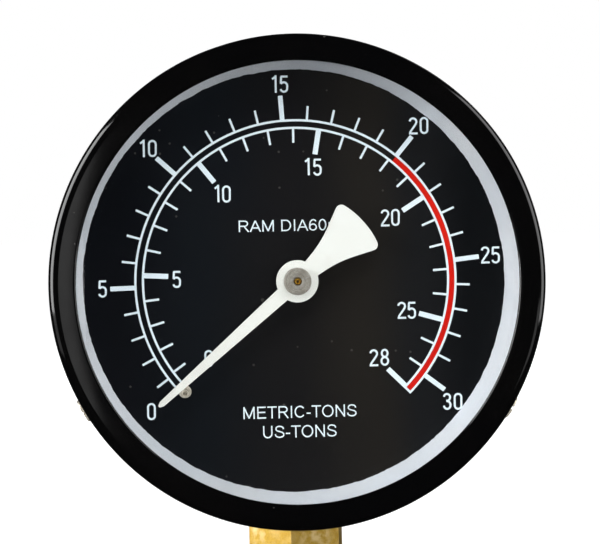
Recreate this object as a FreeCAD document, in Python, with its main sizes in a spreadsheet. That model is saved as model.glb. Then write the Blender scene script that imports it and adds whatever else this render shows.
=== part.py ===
import FreeCAD, Part
import math
import os
import Sketcher

# A dial pressure gauge: a Bourdon tube, a geared movement, a pointer over a dial, and a threaded stem.
# +Z is up, +X is the viewer's right and -Y is towards the viewer. The origin is on the stem's axis at
# the shoulder under the spanner flats. Depths named "..._front" and "..._back" are distances from the
# stem's axis towards the viewer, and everything in the head is placed from the spindle's axis.

DIMENSIONS = {
    # bezel and case
    "bezel_radius": 55.0,
    "bezel_opening": 48.9,
    "bezel_front": 34.0,
    "bezel_skirt": 14.0,
    "bezel_wall": 1.0,
    "bezel_shoulder": 2.3,
    "bezel_lip": 0.6,
    "bezel_case_gap": 0.2,
    "case_wall": 1.0,
    "case_step": 2.3,
    "case_depth": 15.5,
    "case_round": 3.5,
    "rim_setback": 1.2,
    "dial_seat": 20.6,
    "edge_gap": 0.4,
    # screws that hold the bezel
    "bezel_screw_depth": 25.5,
    "bezel_screw_right": 31.8,
    "bezel_screw_left": 30.0,
    "bezel_screw_proud": 0.4,
    "bezel_screw_shank": 1.45,
    "bezel_screw_head": 2.7,
    "bezel_screw_head_height": 0.9,
    "bezel_screw_length": 4.4,
    "screw_clearance": 0.1,
    # window, spacer ring and dial
    "window_gasket": 0.6,
    "window_thickness": 2.5,
    "spacer_top_radius": 49.7,
    "spacer_foot_radius": 47.5,
    "spacer_wall": 1.0,
    "spacer_flange": 0.8,
    "dial_thickness": 0.8,
    "dial_bore": 2.2,
    # stop pin
    "stop_radius": 35.3,
    "stop_angle": 223.6,
    "stop_pin": 0.8,
    "stop_flange": 1.45,
    "stop_flange_height": 0.7,
    "stop_front": 27.0,
    "stop_round": 0.3,
    "stop_gap": 0.03,
    # pointer
    "pointer_back": 25.6,
    "pointer_thickness": 0.6,
    "pointer_disc": 4.72,
    "pointer_reach": 41.6,
    "pointer_root": 1.66,
    "pointer_tip": 0.67,
    "pointer_point": 0.9,
    "pointer_tail": 19.9,
    "pointer_tail_flat": 2.88,
    "pointer_tail_curve": 17.0,
    "pointer_tail_half": 6.94,
    "pointer_tail_corner": 18.7,
    "pointer_tail_round": 1.3,
    "pointer_waist": 2.9,
    "pointer_waist_at": 9.8,
    "pointer_waist_curve": 26.0,
    "hub_boss": 3.05,
    "hub_round": 0.35,
    "hub_mouth": 0.25,
    "hub_front": 27.9,
    "hub_shank": 1.7,
    "hub_flange": 2.6,
    "hub_back": 24.0,
    "hub_bore": 0.92,
    # movement
    "gear_module": 0.3,
    "tooth_addendum": 0.9,
    "tooth_dedendum": 1.2,
    "arbor_end_gap": 0.15,
    "pinion_teeth": 14.0,
    "sector_teeth": 140.0,
    "gear_backlash": 0.08,
    "plate_half_width": 12.0,
    "plate_top": 9.0,
    "plate_thickness": 1.2,
    "back_plate_back": 8.0,
    "plate_spacing": 7.6,
    "front_plate_bottom": 33.0,
    "back_plate_bottom": 42.5,
    "plate_corner": 3.0,
    "pillar_radius": 1.75,
    "pillar_side": 9.0,
    "pillar_high": 6.0,
    "pillar_low": 28.0,
    "pillar_tenon": 1.0,
    "movement_screw": 0.75,
    "movement_screw_head": 1.5,
    "movement_screw_head_height": 0.9,
    "movement_screw_length": 4.2,
    "plate_screw": 1.2,
    "plate_screw_head": 2.3,
    "plate_screw_head_height": 1.4,
    "plate_screw_length": 7.0,
    "plate_screw_side": 6.5,
    "plate_screw_low": 38.5,
    "running_gap": 0.03,
    "spindle_body": 1.0,
    "spindle_pivot": 0.6,
    "spindle_front": 27.5,
    "spindle_nose": 0.9,
    "pinion_back": 11.9,
    "pinion_width": 2.4,
    "sector_back": 12.6,
    "sector_thickness": 1.0,
    "sector_hub": 2.6,
    "sector_rim_width": 2.4,
    "collar_step": 0.6,
    "collar_height": 0.9,
    "sector_bore": 0.8,
    "sector_pivot": 0.55,
    "sector_hub_width": 3.2,
    "collet_radius": 2.0,
    "collet_back": 14.6,
    "collet_width": 1.6,
    "hairspring_strip": 0.14,
    "hairspring_height": 0.7,
    "hairspring_outer": 7.4,
    "hairspring_turns": 6.0,
    "stud_radius": 0.7,
    # link between the sector's tail and the tube's tip
    "tail_length": 8.5,
    "tail_angle": -55.3,
    "tail_half": 1.9,
    "link_length": 17.008,
    "link_angle": 48.37,
    "link_half": 1.6,
    "link_thickness": 0.8,
    "link_gap": 0.2,
    "link_pin": 0.7,
    "open_pivot_gap": 0.16,
    "pin_head": 1.4,
    "pin_head_height": 0.7,
    # Bourdon tube and its tip
    "tube_radius": 34.0,
    "tube_width": 14.0,
    "tube_thickness": 5.0,
    "tube_wall": 0.6,
    "tube_corner": 2.2,
    "tube_centre": 1.0,
    "tube_start": 104.0,
    "tube_sweep": 291.0,
    "tip_arc": 7.0,
    "tip_rim": 1.0,
    "tip_joint_gap": 0.1,
    "tip_ear_thickness": 1.5,
    "tip_ear_half": 2.4,
    "tip_post_half": 1.5,
    # socket
    "thread_radius": 10.0,
    "thread_pitch": 1.5,
    "thread_depth": 0.92,
    "thread_top_band": 1.6,
    "thread_length": 17.0,
    "thread_crest": 0.25,
    "shank_chamfer": 1.0,
    "spigot_radius": 3.0,
    "spigot_length": 3.0,
    "inlet_radius": 1.5,
    "flats_width": 21.0,
    "flats_height": 14.2,
    "flats_turn": 8.2,
    "flats_chamfer": 1.1,
    "case_seat_gap": 1.3,
    "neck_radius": 8.6,
    "neck_gap": 0.3,
    "block_half_width": 11.0,
    "block_front": 8.0,
    "block_back": 8.0,
    "block_rise": 4.8,
    "block_drop": 28.4,
    "socket_gasket_radius": 11.6,
    "restrictor_length": 4.0,
    "restrictor_orifice": 0.4,
    "restrictor_depth": 6.0,
    "solder_gap": 0.05,
    # fixings in the back of the case
    "case_screw_side": 6.5,
    "case_screw_low": 40.0,
    "case_screw_shank": 1.95,
    "case_screw_head": 3.6,
    "case_screw_head_height": 2.0,
    "case_screw_dome": 0.8,
    "case_screw_grip": 5.0,
    "spacer_bush_radius": 3.8,
    "blowout_high": 30.0,
    "blowout_radius": 8.0,
    "blowout_lip": 1.2,
    "blowout_cap": 1.4,
    "blowout_round": 0.7,
    "blowout_hook": 0.6,
    "blowout_taper": 0.8,
    "blowout_tail": 1.6,
    # slotted screws and pin heads
    "slot_width": 0.7,
    "slot_depth": 0.5,
    "screw_dome": 0.25,
    "head_round": 0.2,
}

doc = FreeCAD.newDocument("gauge")
sheet = doc.addObject("Spreadsheet::Sheet", "Dims")
for row, (name, number) in enumerate(DIMENSIONS.items(), start=1):
    sheet.set(f"A{row}", name)
    sheet.set(f"B{row}", str(number))
    sheet.setAlias(f"B{row}", name)
doc.recompute()


class Size:
    # a number with the expression over the sheet's cells that it comes from
    def __init__(self, number, text):
        self.number = number
        self.text = text

    def __add__(self, other):
        other = size(other)
        return Size(self.number + other.number, f"({self.text} + {other.text})")

    def __sub__(self, other):
        other = size(other)
        return Size(self.number - other.number, f"({self.text} - {other.text})")

    def __mul__(self, other):
        other = size(other)
        return Size(self.number * other.number, f"({self.text} * {other.text})")

    def __truediv__(self, other):
        other = size(other)
        return Size(self.number / other.number, f"({self.text} / {other.text})")

    def __neg__(self):
        return Size(-self.number, f"(0 - {self.text})")

    def __radd__(self, other):
        return size(other) + self

    def __rsub__(self, other):
        return size(other) - self

    def __rmul__(self, other):
        return size(other) * self


def size(value):
    if isinstance(value, Size):
        return value
    return Size(float(value), f"({float(value)})")


def cosine(angle):
    angle = size(angle)
    return Size(math.cos(math.radians(angle.number)), f"cos({angle.text} * 1 deg)")


def sine(angle):
    angle = size(angle)
    return Size(math.sin(math.radians(angle.number)), f"sin({angle.text} * 1 deg)")


class Sheet:
    # dims.name is the Size of the cell with that alias
    def __getattr__(self, name):
        return Size(float(sheet.get(name)), f"Dims.{name}")


dims = Sheet()

# radii and heights that follow from the driving sizes
rim_outer = dims.bezel_radius - dims.bezel_wall - dims.bezel_case_gap
rim_inner = rim_outer - dims.case_wall
case_outer = rim_outer - dims.case_step
case_inner = case_outer - dims.case_wall
window_front = dims.bezel_front - dims.bezel_wall - dims.window_gasket
window_back = window_front - dims.window_thickness
dial_front = dims.dial_seat + dims.dial_thickness
disc_radius = rim_inner - dims.edge_gap
centre = dims.flats_height + dims.case_seat_gap + case_outer
front_plate_back = dims.back_plate_back + dims.plate_thickness + dims.plate_spacing
front_plate_front = front_plate_back + dims.plate_thickness
gear_distance = dims.gear_module * (dims.pinion_teeth + dims.sector_teeth) / 2
tail_x = dims.tail_length * cosine(dims.tail_angle)
tail_z = dims.tail_length * sine(dims.tail_angle) - gear_distance
tip_pin_x = tail_x + dims.link_length * cosine(dims.link_angle)
tip_pin_z = tail_z + dims.link_length * sine(dims.link_angle)
link_back = dims.sector_back - dims.link_gap - dims.link_thickness
ear_back = link_back - dims.link_gap - dims.tip_ear_thickness
pillar_spots = [
    (-dims.pillar_side, dims.pillar_high),
    (dims.pillar_side, dims.pillar_high),
    (-dims.pillar_side, -dims.pillar_low),
]


def bind(thing, prop, value):
    thing.setExpression(prop, size(value).text)


def place(thing, x=0, y=0, z=0, turn=None, axis=(0, 1, 0)):
    # turn is an angle in degrees about the axis, in the row's frame
    x, y, z = size(x), size(y), size(z)
    rotation = FreeCAD.Rotation()
    if turn is not None:
        rotation = FreeCAD.Rotation(FreeCAD.Vector(*axis), size(turn).number)
    thing.Placement = FreeCAD.Placement(FreeCAD.Vector(x.number, y.number, z.number), rotation)
    bind(thing, "Placement.Base.x", x)
    bind(thing, "Placement.Base.y", y)
    bind(thing, "Placement.Base.z", z)
    if turn is not None:
        bind(thing, "Placement.Rotation.Angle", turn)


def new_body(label):
    body = doc.addObject("PartDesign::Body", label)
    body.Label = label
    return body


def new_sketch(body, plane):
    sketch = body.newObject("Sketcher::SketchObject", f"{body.Name}_sketch")
    origin_plane = [f for f in body.Origin.OriginFeatures if f.Role == plane][0]
    sketch.AttachmentSupport = [(origin_plane, "")]
    sketch.MapMode = "FlatFace"
    return sketch


def outline(sketch, corners):
    # a closed outline through corners (x, y) or (x, y, radius), each bound to the sheet
    points = [FreeCAD.Vector(size(c[0]).number, size(c[1]).number, 0) for c in corners]
    radii = [size(c[2]) if len(c) > 2 else None for c in corners]
    count = len(corners)
    starts, ends, arcs = [], [], []
    for i, here in enumerate(points):
        if radii[i] is None:
            starts.append(here)
            ends.append(here)
            arcs.append(None)
            continue
        back = (points[i - 1] - here).normalize()
        ahead = (points[(i + 1) % count] - here).normalize()
        half = back.getAngle(ahead) / 2
        reach = radii[i].number / math.tan(half)
        middle = (back + ahead).normalize()
        hub = here + middle * (radii[i].number / math.sin(half))
        ends.append(here + back * reach)
        starts.append(here + ahead * reach)
        anticlockwise = (ends[i] - hub).cross(starts[i] - hub).z > 0
        low, high = (ends[i], starts[i]) if anticlockwise else (starts[i], ends[i])
        round_corner = Part.Circle(hub, FreeCAD.Vector(0, 0, 1), radii[i].number)
        angles = [math.atan2((point - hub).y, (point - hub).x) for point in (low, high)]
        arcs.append((Part.ArcOfCircle(round_corner, *angles), anticlockwise))
    lines = []
    for i in range(count):
        lines.append(sketch.addGeometry(Part.LineSegment(starts[i], ends[(i + 1) % count])))
    constraints, bound = [], []
    for i in range(count):
        before, after = lines[i - 1], lines[i]
        if arcs[i] is None:
            constraints.append(Sketcher.Constraint("Coincident", before, 2, after, 1))
            corner, spot = after, 1
        else:
            arc = sketch.addGeometry(arcs[i][0])
            near, far = (1, 2) if arcs[i][1] else (2, 1)
            constraints.append(Sketcher.Constraint("Tangent", before, 2, arc, near))
            constraints.append(Sketcher.Constraint("Tangent", arc, far, after, 1))
            constraints.append(Sketcher.Constraint("Radius", arc, radii[i].number))
            bound.append((len(constraints) - 1, radii[i]))
            corner, spot = sketch.addGeometry(Part.Point(points[i]), True), 1
            constraints.append(Sketcher.Constraint("PointOnObject", corner, 1, before))
            constraints.append(Sketcher.Constraint("PointOnObject", corner, 1, after))
        constraints.append(Sketcher.Constraint("DistanceX", -1, 1, corner, spot, points[i].x))
        bound.append((len(constraints) - 1, size(corners[i][0])))
        constraints.append(Sketcher.Constraint("DistanceY", -1, 1, corner, spot, points[i].y))
        bound.append((len(constraints) - 1, size(corners[i][1])))
    first = sketch.ConstraintCount
    sketch.addConstraint(constraints)
    for index, value in bound:
        bind(sketch, f"Constraints[{first + index}]", value)


def circle(sketch, radius, x=0, y=0):
    radius, x, y = size(radius), size(x), size(y)
    middle = FreeCAD.Vector(x.number, y.number, 0)
    ring = sketch.addGeometry(Part.Circle(middle, FreeCAD.Vector(0, 0, 1), radius.number))
    first = sketch.ConstraintCount
    sketch.addConstraint([
        Sketcher.Constraint("Radius", ring, radius.number),
        Sketcher.Constraint("DistanceX", -1, 1, ring, 3, x.number),
        Sketcher.Constraint("DistanceY", -1, 1, ring, 3, y.number),
    ])
    for step, value in enumerate((radius, x, y)):
        bind(sketch, f"Constraints[{first + step}]", value)


def pad(body, sketch, length, backwards=False):
    feature = body.newObject("PartDesign::Pad", f"{body.Name}_pad")
    feature.Profile = sketch
    feature.Length = size(length).number
    feature.Reversed = backwards
    bind(feature, "Length", length)
    return feature


def pocket(body, sketch, length, backwards=False):
    # cuts along the direction away from the sketch's normal, or along it when backwards is set
    doc.recompute()
    before = body.Shape.Volume
    feature = body.newObject("PartDesign::Pocket", f"{body.Name}_pocket")
    feature.Profile = sketch
    feature.Length = size(length).number
    feature.Reversed = backwards
    bind(feature, "Length", length)
    doc.recompute()
    if body.Shape.Volume > before - 1e-4:
        raise RuntimeError(f"{feature.Name} cuts nothing")
    return feature


def spin(body, sketch, axis="V_Axis", angle=360):
    feature = body.newObject("PartDesign::Revolution", f"{body.Name}_turned")
    feature.Profile = sketch
    feature.ReferenceAxis = (sketch, [axis])
    feature.Angle = size(angle).number
    bind(feature, "Angle", angle)
    return feature


def turned(label, corners, x=0, z=centre):
    # a piece turned about a line parallel to the spindle, from (radius, depth) corners
    body = new_body(label)
    sketch = new_sketch(body, "XY_Plane")
    outline(sketch, [(c[0], -size(c[1])) + tuple(c[2:]) for c in corners])
    spin(body, sketch)
    place(body, x, 0, z)
    return body


def slotted(label, shank, length, head, height, dome=dims.screw_dome):
    # a screw along +Z with the underside of its head at the origin and a slot across its head
    body = new_body(label)
    sketch = new_sketch(body, "XZ_Plane")
    outline(sketch, [(0, -length), (shank, -length), (shank, 0), (head, 0), (head, height, dome), (0, height)])
    spin(body, sketch)
    slot = new_sketch(body, "XY_Plane")
    half, reach = dims.slot_width / 2, head + 1
    outline(slot, [(-reach, -half), (reach, -half), (reach, half), (-reach, half)])
    slot.AttachmentOffset = FreeCAD.Placement(FreeCAD.Vector(0, 0, size(height).number), FreeCAD.Rotation())
    bind(slot, "AttachmentOffset.Base.z", height)
    pocket(body, slot, dims.slot_depth)
    return body


def faced(screw, x, z, depth, forward=True, roll=0):
    # turns a screw so that its head faces the viewer, or the back, with its seat at that depth
    tilt = FreeCAD.Rotation(FreeCAD.Vector(1, 0, 0), 90 if forward else -90)
    around = FreeCAD.Rotation(FreeCAD.Vector(0, 1, 0), roll)
    x, y, z = size(x), -size(depth), centre + z
    screw.Placement = FreeCAD.Placement(FreeCAD.Vector(x.number, y.number, z.number), around.multiply(tilt))
    bind(screw, "Placement.Base.x", x)
    bind(screw, "Placement.Base.y", y)
    bind(screw, "Placement.Base.z", z)
    return screw


def drill(name, radius, length, x=0, z=0, depth=0):
    # a round tool along Y that starts at that depth and runs towards the back
    tool = doc.addObject("Part::Cylinder", name)
    bind(tool, "Radius", radius)
    bind(tool, "Height", length)
    tool.Placement.Rotation = FreeCAD.Rotation(FreeCAD.Vector(1, 0, 0), -90)
    bind(tool, "Placement.Base.x", x)
    bind(tool, "Placement.Base.y", -size(depth))
    bind(tool, "Placement.Base.z", centre + z)
    return tool


def cut(label, base, tools):
    merged = doc.addObject("Part::MultiFuse", f"{label}_tools")
    merged.Shapes = tools
    result = doc.addObject("Part::Cut", label)
    result.Base = base
    result.Tool = merged if len(tools) > 1 else tools[0]
    if len(tools) == 1:
        doc.removeObject(merged.Name)
    result.Label = label
    return result


def group(label, pieces):
    # identical pieces that share one node, as separate solids
    result = doc.addObject("Part::Compound", label)
    result.Links = pieces
    result.Label = label
    return result


def bezel_screw_lines():
    # (degrees clockwise from +X as the viewer sees it, how far the screw stands proud)
    return [(dims.bezel_screw_right, dims.bezel_screw_proud), (180 - dims.bezel_screw_left, size(0))]


def radial_drills(label, radius):
    # tools through the rim where the bezel's screws pass, from inside the rim to past the bezel
    tools = []
    for index, (angle, _) in enumerate(bezel_screw_lines()):
        tool = doc.addObject("Part::Cylinder", f"{label}_drill{index}")
        bind(tool, "Radius", radius)
        bind(tool, "Height", dims.bezel_radius)
        heading = FreeCAD.Rotation(FreeCAD.Vector(0, 1, 0), 90 + angle.number)
        away = rim_inner - 2
        tool.Placement.Rotation = heading
        bind(tool, "Placement.Base.x", away * cosine(angle))
        bind(tool, "Placement.Base.y", -dims.bezel_screw_depth)
        bind(tool, "Placement.Base.z", centre - away * sine(angle))
        tools.append(tool)
    return tools


def make_bezel():
    front, wall = dims.bezel_front, dims.bezel_wall
    back = front - dims.bezel_skirt
    inner = dims.bezel_radius - wall
    ring = turned("bezel_ring", [
        (dims.bezel_radius, back),
        (dims.bezel_radius, front, dims.bezel_shoulder),
        (dims.bezel_opening, front, dims.bezel_lip),
        (dims.bezel_opening, front - wall),
        (inner, front - wall, dims.bezel_shoulder - wall),
        (inner, back),
    ])
    return cut("bezel", ring, radial_drills("bezel", dims.bezel_screw_shank + dims.screw_clearance))


def make_case():
    seat, wall, back = dims.dial_seat, dims.case_wall, dims.case_depth
    rim_front = dims.bezel_front - dims.bezel_wall - dims.rim_setback
    shell = turned("case_shell", [
        (0, -back),
        (case_outer, -back, dims.case_round),
        (case_outer, seat - wall),
        (rim_outer, seat - wall, wall),
        (rim_outer, rim_front),
        (rim_inner, rim_front),
        (rim_inner, seat),
        (case_inner, seat),
        (case_inner, wall - back, dims.case_round - wall),
        (0, wall - back),
    ])
    tools = radial_drills("case", dims.bezel_screw_shank + dims.screw_clearance / 2)
    neck = doc.addObject("Part::Cylinder", "case_neck_hole")
    bind(neck, "Radius", dims.neck_radius + dims.neck_gap)
    bind(neck, "Height", centre)
    tools.append(neck)
    through = wall * 4
    start = wall * 2 - back
    for index, side in enumerate((-1, 1)):
        hole = dims.case_screw_shank + dims.screw_clearance
        tools.append(drill(f"case_screw_hole{index}", hole, through, side * dims.case_screw_side,
                           -dims.case_screw_low, start))
    tools.append(drill("case_blowout_hole", dims.blowout_radius, through, 0, dims.blowout_high, start))
    return cut("case", shell, tools)


def make_bezel_screws():
    screws = []
    for index, (angle, proud) in enumerate(bezel_screw_lines()):
        screw = slotted(f"bezel_screw{index}", dims.bezel_screw_shank, dims.bezel_screw_length,
                        dims.bezel_screw_head, dims.bezel_screw_head_height)
        reach = dims.bezel_radius + proud
        x, y, z = reach * cosine(angle), -dims.bezel_screw_depth, centre - reach * sine(angle)
        screw.Placement = FreeCAD.Placement(
            FreeCAD.Vector(x.number, y.number, z.number),
            FreeCAD.Rotation(FreeCAD.Vector(0, 1, 0), 90 + angle.number))
        bind(screw, "Placement.Base.x", x)
        bind(screw, "Placement.Base.y", y)
        bind(screw, "Placement.Base.z", z)
        screws.append(screw)
    return group("bezel_screws", screws)


def make_window():
    return turned("window", [(0, window_back), (disc_radius, window_back), (disc_radius, window_front),
                             (0, window_front)])


def make_window_gasket():
    inside = dims.bezel_opening + dims.window_gasket * 2
    top = window_front + dims.window_gasket
    return turned("window_gasket", [(inside, window_front), (disc_radius, window_front),
                                    (disc_radius, top), (inside, top)])


def make_spacer_ring():
    flange = window_back - dims.spacer_flange
    wall = dims.spacer_wall
    return turned("spacer_ring", [
        (dims.spacer_foot_radius, dial_front),
        (dims.spacer_foot_radius + wall, dial_front),
        (dims.spacer_top_radius + wall, flange),
        (disc_radius, flange),
        (disc_radius, window_back),
        (dims.spacer_top_radius, window_back),
    ])


def stop_place():
    return dims.stop_radius * cosine(dims.stop_angle), dims.stop_radius * sine(dims.stop_angle)


def make_dial():
    body = new_body("dial")
    sketch = new_sketch(body, "XZ_Plane")
    circle(sketch, disc_radius)
    circle(sketch, dims.dial_bore)
    circle(sketch, dims.stop_pin, *stop_place())
    pad(body, sketch, dims.dial_thickness)
    place(body, 0, -dims.dial_seat, centre)
    return body


def make_stop_pin():
    x, z = stop_place()
    shoulder = dial_front + dims.stop_flange_height
    rivet = dims.dial_seat - dims.stop_flange_height / 2
    return turned("stop_pin", [
        (0, rivet),
        (dims.stop_flange, rivet),
        (dims.stop_flange, dims.dial_seat),
        (dims.stop_pin, dims.dial_seat),
        (dims.stop_pin, dial_front),
        (dims.stop_flange, dial_front),
        (dims.stop_flange, shoulder, dims.head_round),
        (dims.stop_pin, shoulder),
        (dims.stop_pin, dims.stop_front, dims.stop_round),
        (0, dims.stop_front),
    ], x, centre + z)


def pointer_angle():
    # the pointer's flank rests on the stop pin, so its own line is a little further round the dial
    slope = (dims.pointer_root - dims.pointer_tip) / (dims.pointer_reach - dims.pointer_disc)
    flank = dims.pointer_tip + slope * (dims.pointer_reach - dims.stop_radius)
    offset = (flank + dims.stop_pin + dims.stop_gap) / dims.stop_radius
    return dims.stop_angle - offset * (180 / math.pi)


def make_pointer():
    body = new_body("pointer")
    blade = new_sketch(body, "XZ_Plane")
    root, tip, reach = dims.pointer_root, dims.pointer_tip, dims.pointer_reach
    shoulder = reach - dims.pointer_point
    slim = tip / 3
    outline(blade, [
        (dims.pointer_disc - 2, root),
        (dims.pointer_disc - 2, -root),
        (shoulder, -tip),
        (reach, -slim, 0.12),
        (reach, slim, 0.12),
        (shoulder, tip),
    ])
    pad(body, blade, dims.pointer_thickness)
    disc = new_sketch(body, "XZ_Plane")
    circle(disc, dims.pointer_disc)
    pad(body, disc, dims.pointer_thickness)
    tail = new_sketch(body, "XZ_Plane")
    near, half, waist = dims.pointer_disc - 2, dims.pointer_tail_half, dims.pointer_waist
    at, corner, end = dims.pointer_waist_at, dims.pointer_tail_corner, dims.pointer_tail
    flat, bend, hollow = dims.pointer_tail_flat, dims.pointer_tail_curve, dims.pointer_waist_curve
    outline(tail, [
        (-near, -root - 0.2),
        (-near, root + 0.2),
        (-at, waist, hollow),
        (-corner, half, dims.pointer_tail_round),
        (-end, flat, bend),
        (-end, -flat, bend),
        (-corner, -half, dims.pointer_tail_round),
        (-at, -waist, hollow),
    ])
    pad(body, tail, dims.pointer_thickness)
    bore = new_sketch(body, "XZ_Plane")
    circle(bore, dims.hub_shank)
    pocket(body, bore, dims.pointer_thickness, backwards=True)
    place(body, 0, -dims.pointer_back, centre, -pointer_angle())
    return body


def make_pointer_hub():
    face = dims.pointer_back + dims.pointer_thickness
    return turned("pointer_hub", [
        (dims.hub_bore, dims.hub_back),
        (dims.hub_flange, dims.hub_back),
        (dims.hub_flange, dims.pointer_back),
        (dims.hub_shank, dims.pointer_back),
        (dims.hub_shank, face),
        (dims.hub_boss, face),
        (dims.hub_boss, dims.hub_front, dims.hub_round),
        (dims.hub_bore + dims.hub_mouth, dims.hub_front),
        (dims.hub_bore, dims.hub_front - dims.hub_mouth),
    ])


def polar(radius, angle):
    return FreeCAD.Vector(radius * math.cos(angle), 0, radius * math.sin(angle))


def tooth_flank(teeth, module, backlash):
    # (radius, half angle) along one flank of a 20 degree involute tooth, from its root to its tip
    pitch = module * teeth / 2
    base = pitch * math.cos(math.radians(20))
    tip = pitch + dims.tooth_addendum.number * module
    root = pitch - dims.tooth_dedendum.number * module
    half = math.pi / 2 / teeth - backlash / 2 / (2 * pitch)
    spread = math.tan(math.radians(20)) - math.radians(20)
    start = max(base, root)
    flank = []
    for step in range(5):
        radius = start + (tip - start) * step / 4
        pressure = math.acos(min(1, base / radius))
        flank.append((radius, half + spread - (math.tan(pressure) - pressure)))
    if start > root:
        flank.insert(0, (root, flank[0][1]))
    return flank


def toothed_edges(teeth, module, backlash, first, count):
    # the outline of some of a gear's teeth, anticlockwise from tooth "first" about the +X direction
    flank = tooth_flank(teeth, module, backlash)
    foot = len(flank) - 5
    edges = []
    last = None
    for number in range(first, first + count):
        middle = 2 * math.pi * number / teeth
        right = [polar(radius, middle - angle) for radius, angle in flank]
        left = [polar(radius, middle + angle) for radius, angle in flank]
        if last is not None:
            edges.append(Part.makeLine(last, right[0]))
        for side in (right, left):
            curve = Part.BSplineCurve()
            curve.interpolate(side[foot:])
            edges.append(curve.toShape())
            if foot:
                edges.append(Part.makeLine(side[0], side[1]))
        edges.append(Part.makeLine(right[-1], left[-1]))
        last = left[0]
    return edges, polar(flank[0][0], 2 * math.pi * first / teeth - flank[0][1]), last


def extrude_forward(edges, depth, thickness):
    # fills a closed outline in the XZ plane and extrudes it towards the viewer from that depth
    face = Part.Face(Part.Wire(Part.__sortEdges__(edges)))
    face.translate(FreeCAD.Vector(0, -depth, 0))
    return face.extrude(FreeCAD.Vector(0, -thickness, 0))


def rod(radius, back, front, x=0.0, z=0.0):
    base = FreeCAD.Vector(x, -back, z)
    return Part.makeCylinder(radius, front - back, base, FreeCAD.Vector(0, -1, 0))


def shaped(label, shape, z):
    feature = doc.addObject("Part::Feature", label)
    feature.Label = label
    feature.Shape = shape
    feature.Placement = FreeCAD.Placement(FreeCAD.Vector(0, 0, size(z).number), FreeCAD.Rotation())
    return feature


def make_pinion_arbor():
    # the pinion is cut on its own arbor, whose front nose carries the pointer's hub
    teeth, module = int(dims.pinion_teeth.number), dims.gear_module.number
    backlash = dims.gear_backlash.number
    edges, first, last = toothed_edges(teeth, module, backlash, 0, teeth)
    edges.append(Part.makeLine(last, first))
    back = dims.pinion_back.number
    gear = extrude_forward(edges, back, dims.pinion_width.number)
    # a tooth gap, not a tooth, faces the sector below it
    gear.rotate(FreeCAD.Vector(), FreeCAD.Vector(0, 1, 0), 90 - 180 / teeth)
    body_back = (dims.back_plate_back + dims.plate_thickness + dims.arbor_end_gap).number
    body_front = (front_plate_back - dims.arbor_end_gap).number
    arbor = rod(dims.spindle_body.number, body_back, body_front)
    pivot = rod(dims.spindle_pivot.number, dims.back_plate_back.number, body_back)
    nose = rod(dims.spindle_nose.number, body_front, dims.spindle_front.number)
    return shaped("pinion_arbor", gear.multiFuse([arbor, pivot, nose]).removeSplitter(), centre)


def make_sector_gear():
    # the sector turns about the origin of its own outline here, and is moved down to its pivot
    teeth, module = int(dims.sector_teeth.number), dims.gear_module.number
    pitch_angle = 360 / teeth
    low = int(round((90 - travel_of_sector() - 6) / pitch_angle))
    high = int(round((90 + 6) / pitch_angle))
    edges, first, last = toothed_edges(teeth, module, dims.gear_backlash.number, low, high - low + 1)
    rim = module * teeth / 2 - dims.sector_rim_width.number
    hub = dims.sector_hub.number
    end_in, end_out = math.atan2(last.z, last.x), math.atan2(first.z, first.x)
    waist = (end_in + end_out) / 2
    inner_last, inner_first = polar(rim, end_in), polar(rim, end_out)
    arm_last, arm_first = polar(rim - 1.5, waist + 0.13), polar(rim - 1.5, waist - 0.13)
    foot_last, foot_first = polar(hub * 0.9, waist + 0.8), polar(hub * 0.9, waist - 0.8)
    back_edge = [last, inner_last, arm_last, foot_last, foot_first, arm_first, inner_first, first]
    edges += [Part.makeLine(a, b) for a, b in zip(back_edge, back_edge[1:])]
    depth, thick = dims.sector_back.number, dims.sector_thickness.number
    plate = extrude_forward(edges, depth, thick)
    arm = math.radians(dims.tail_angle.number)
    reach, half = dims.tail_length.number, dims.tail_half.number
    side = FreeCAD.Vector(-math.sin(arm), 0, math.cos(arm)) * half
    ends = [polar(0, arm) + side, polar(reach, arm) + side, polar(reach, arm) - side, polar(0, arm) - side]
    tail_edges = [Part.makeLine(a, b) for a, b in zip(ends, ends[1:] + ends[:1])]
    tail = extrude_forward(tail_edges, depth, thick)
    tip = polar(reach, arm)
    tail_end = rod(half, depth, depth + thick, tip.x, tip.z)
    boss = rod(hub, depth, depth + thick)
    solid = plate.multiFuse([tail, tail_end, boss]).removeSplitter()
    solid = solid.cut(rod(dims.sector_bore.number, depth - 1, depth + thick + 1))
    solid = solid.cut(rod(dims.link_pin.number, depth - 1, depth + thick + 1, tip.x, tip.z))
    return shaped("sector_gear", solid, centre - gear_distance)


def travel_of_sector():
    # degrees that the sector turns while the pointer goes from its stop to the scale's last mark
    full_scale = -45
    sweep = pointer_angle().number - full_scale
    return sweep * dims.pinion_teeth.number / dims.sector_teeth.number


def make_sector_arbor():
    back, front = dims.back_plate_back, front_plate_front
    inner_back = back + dims.plate_thickness + dims.arbor_end_gap
    inner_front = front_plate_back - dims.arbor_end_gap
    hub_back = dims.sector_back + dims.sector_thickness
    return turned("sector_arbor", [
        (0, back),
        (dims.sector_pivot, back),
        (dims.sector_pivot, inner_back),
        (dims.sector_bore, inner_back),
        (dims.sector_bore, hub_back),
        (dims.sector_hub - dims.collar_step, hub_back),
        (dims.sector_hub - dims.collar_step, hub_back + dims.collar_height),
        (dims.sector_bore, hub_back + dims.collar_height),
        (dims.sector_bore, inner_front),
        (dims.sector_pivot, inner_front),
        (dims.sector_pivot, front),
        (0, front),
    ], 0, centre - gear_distance)


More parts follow.
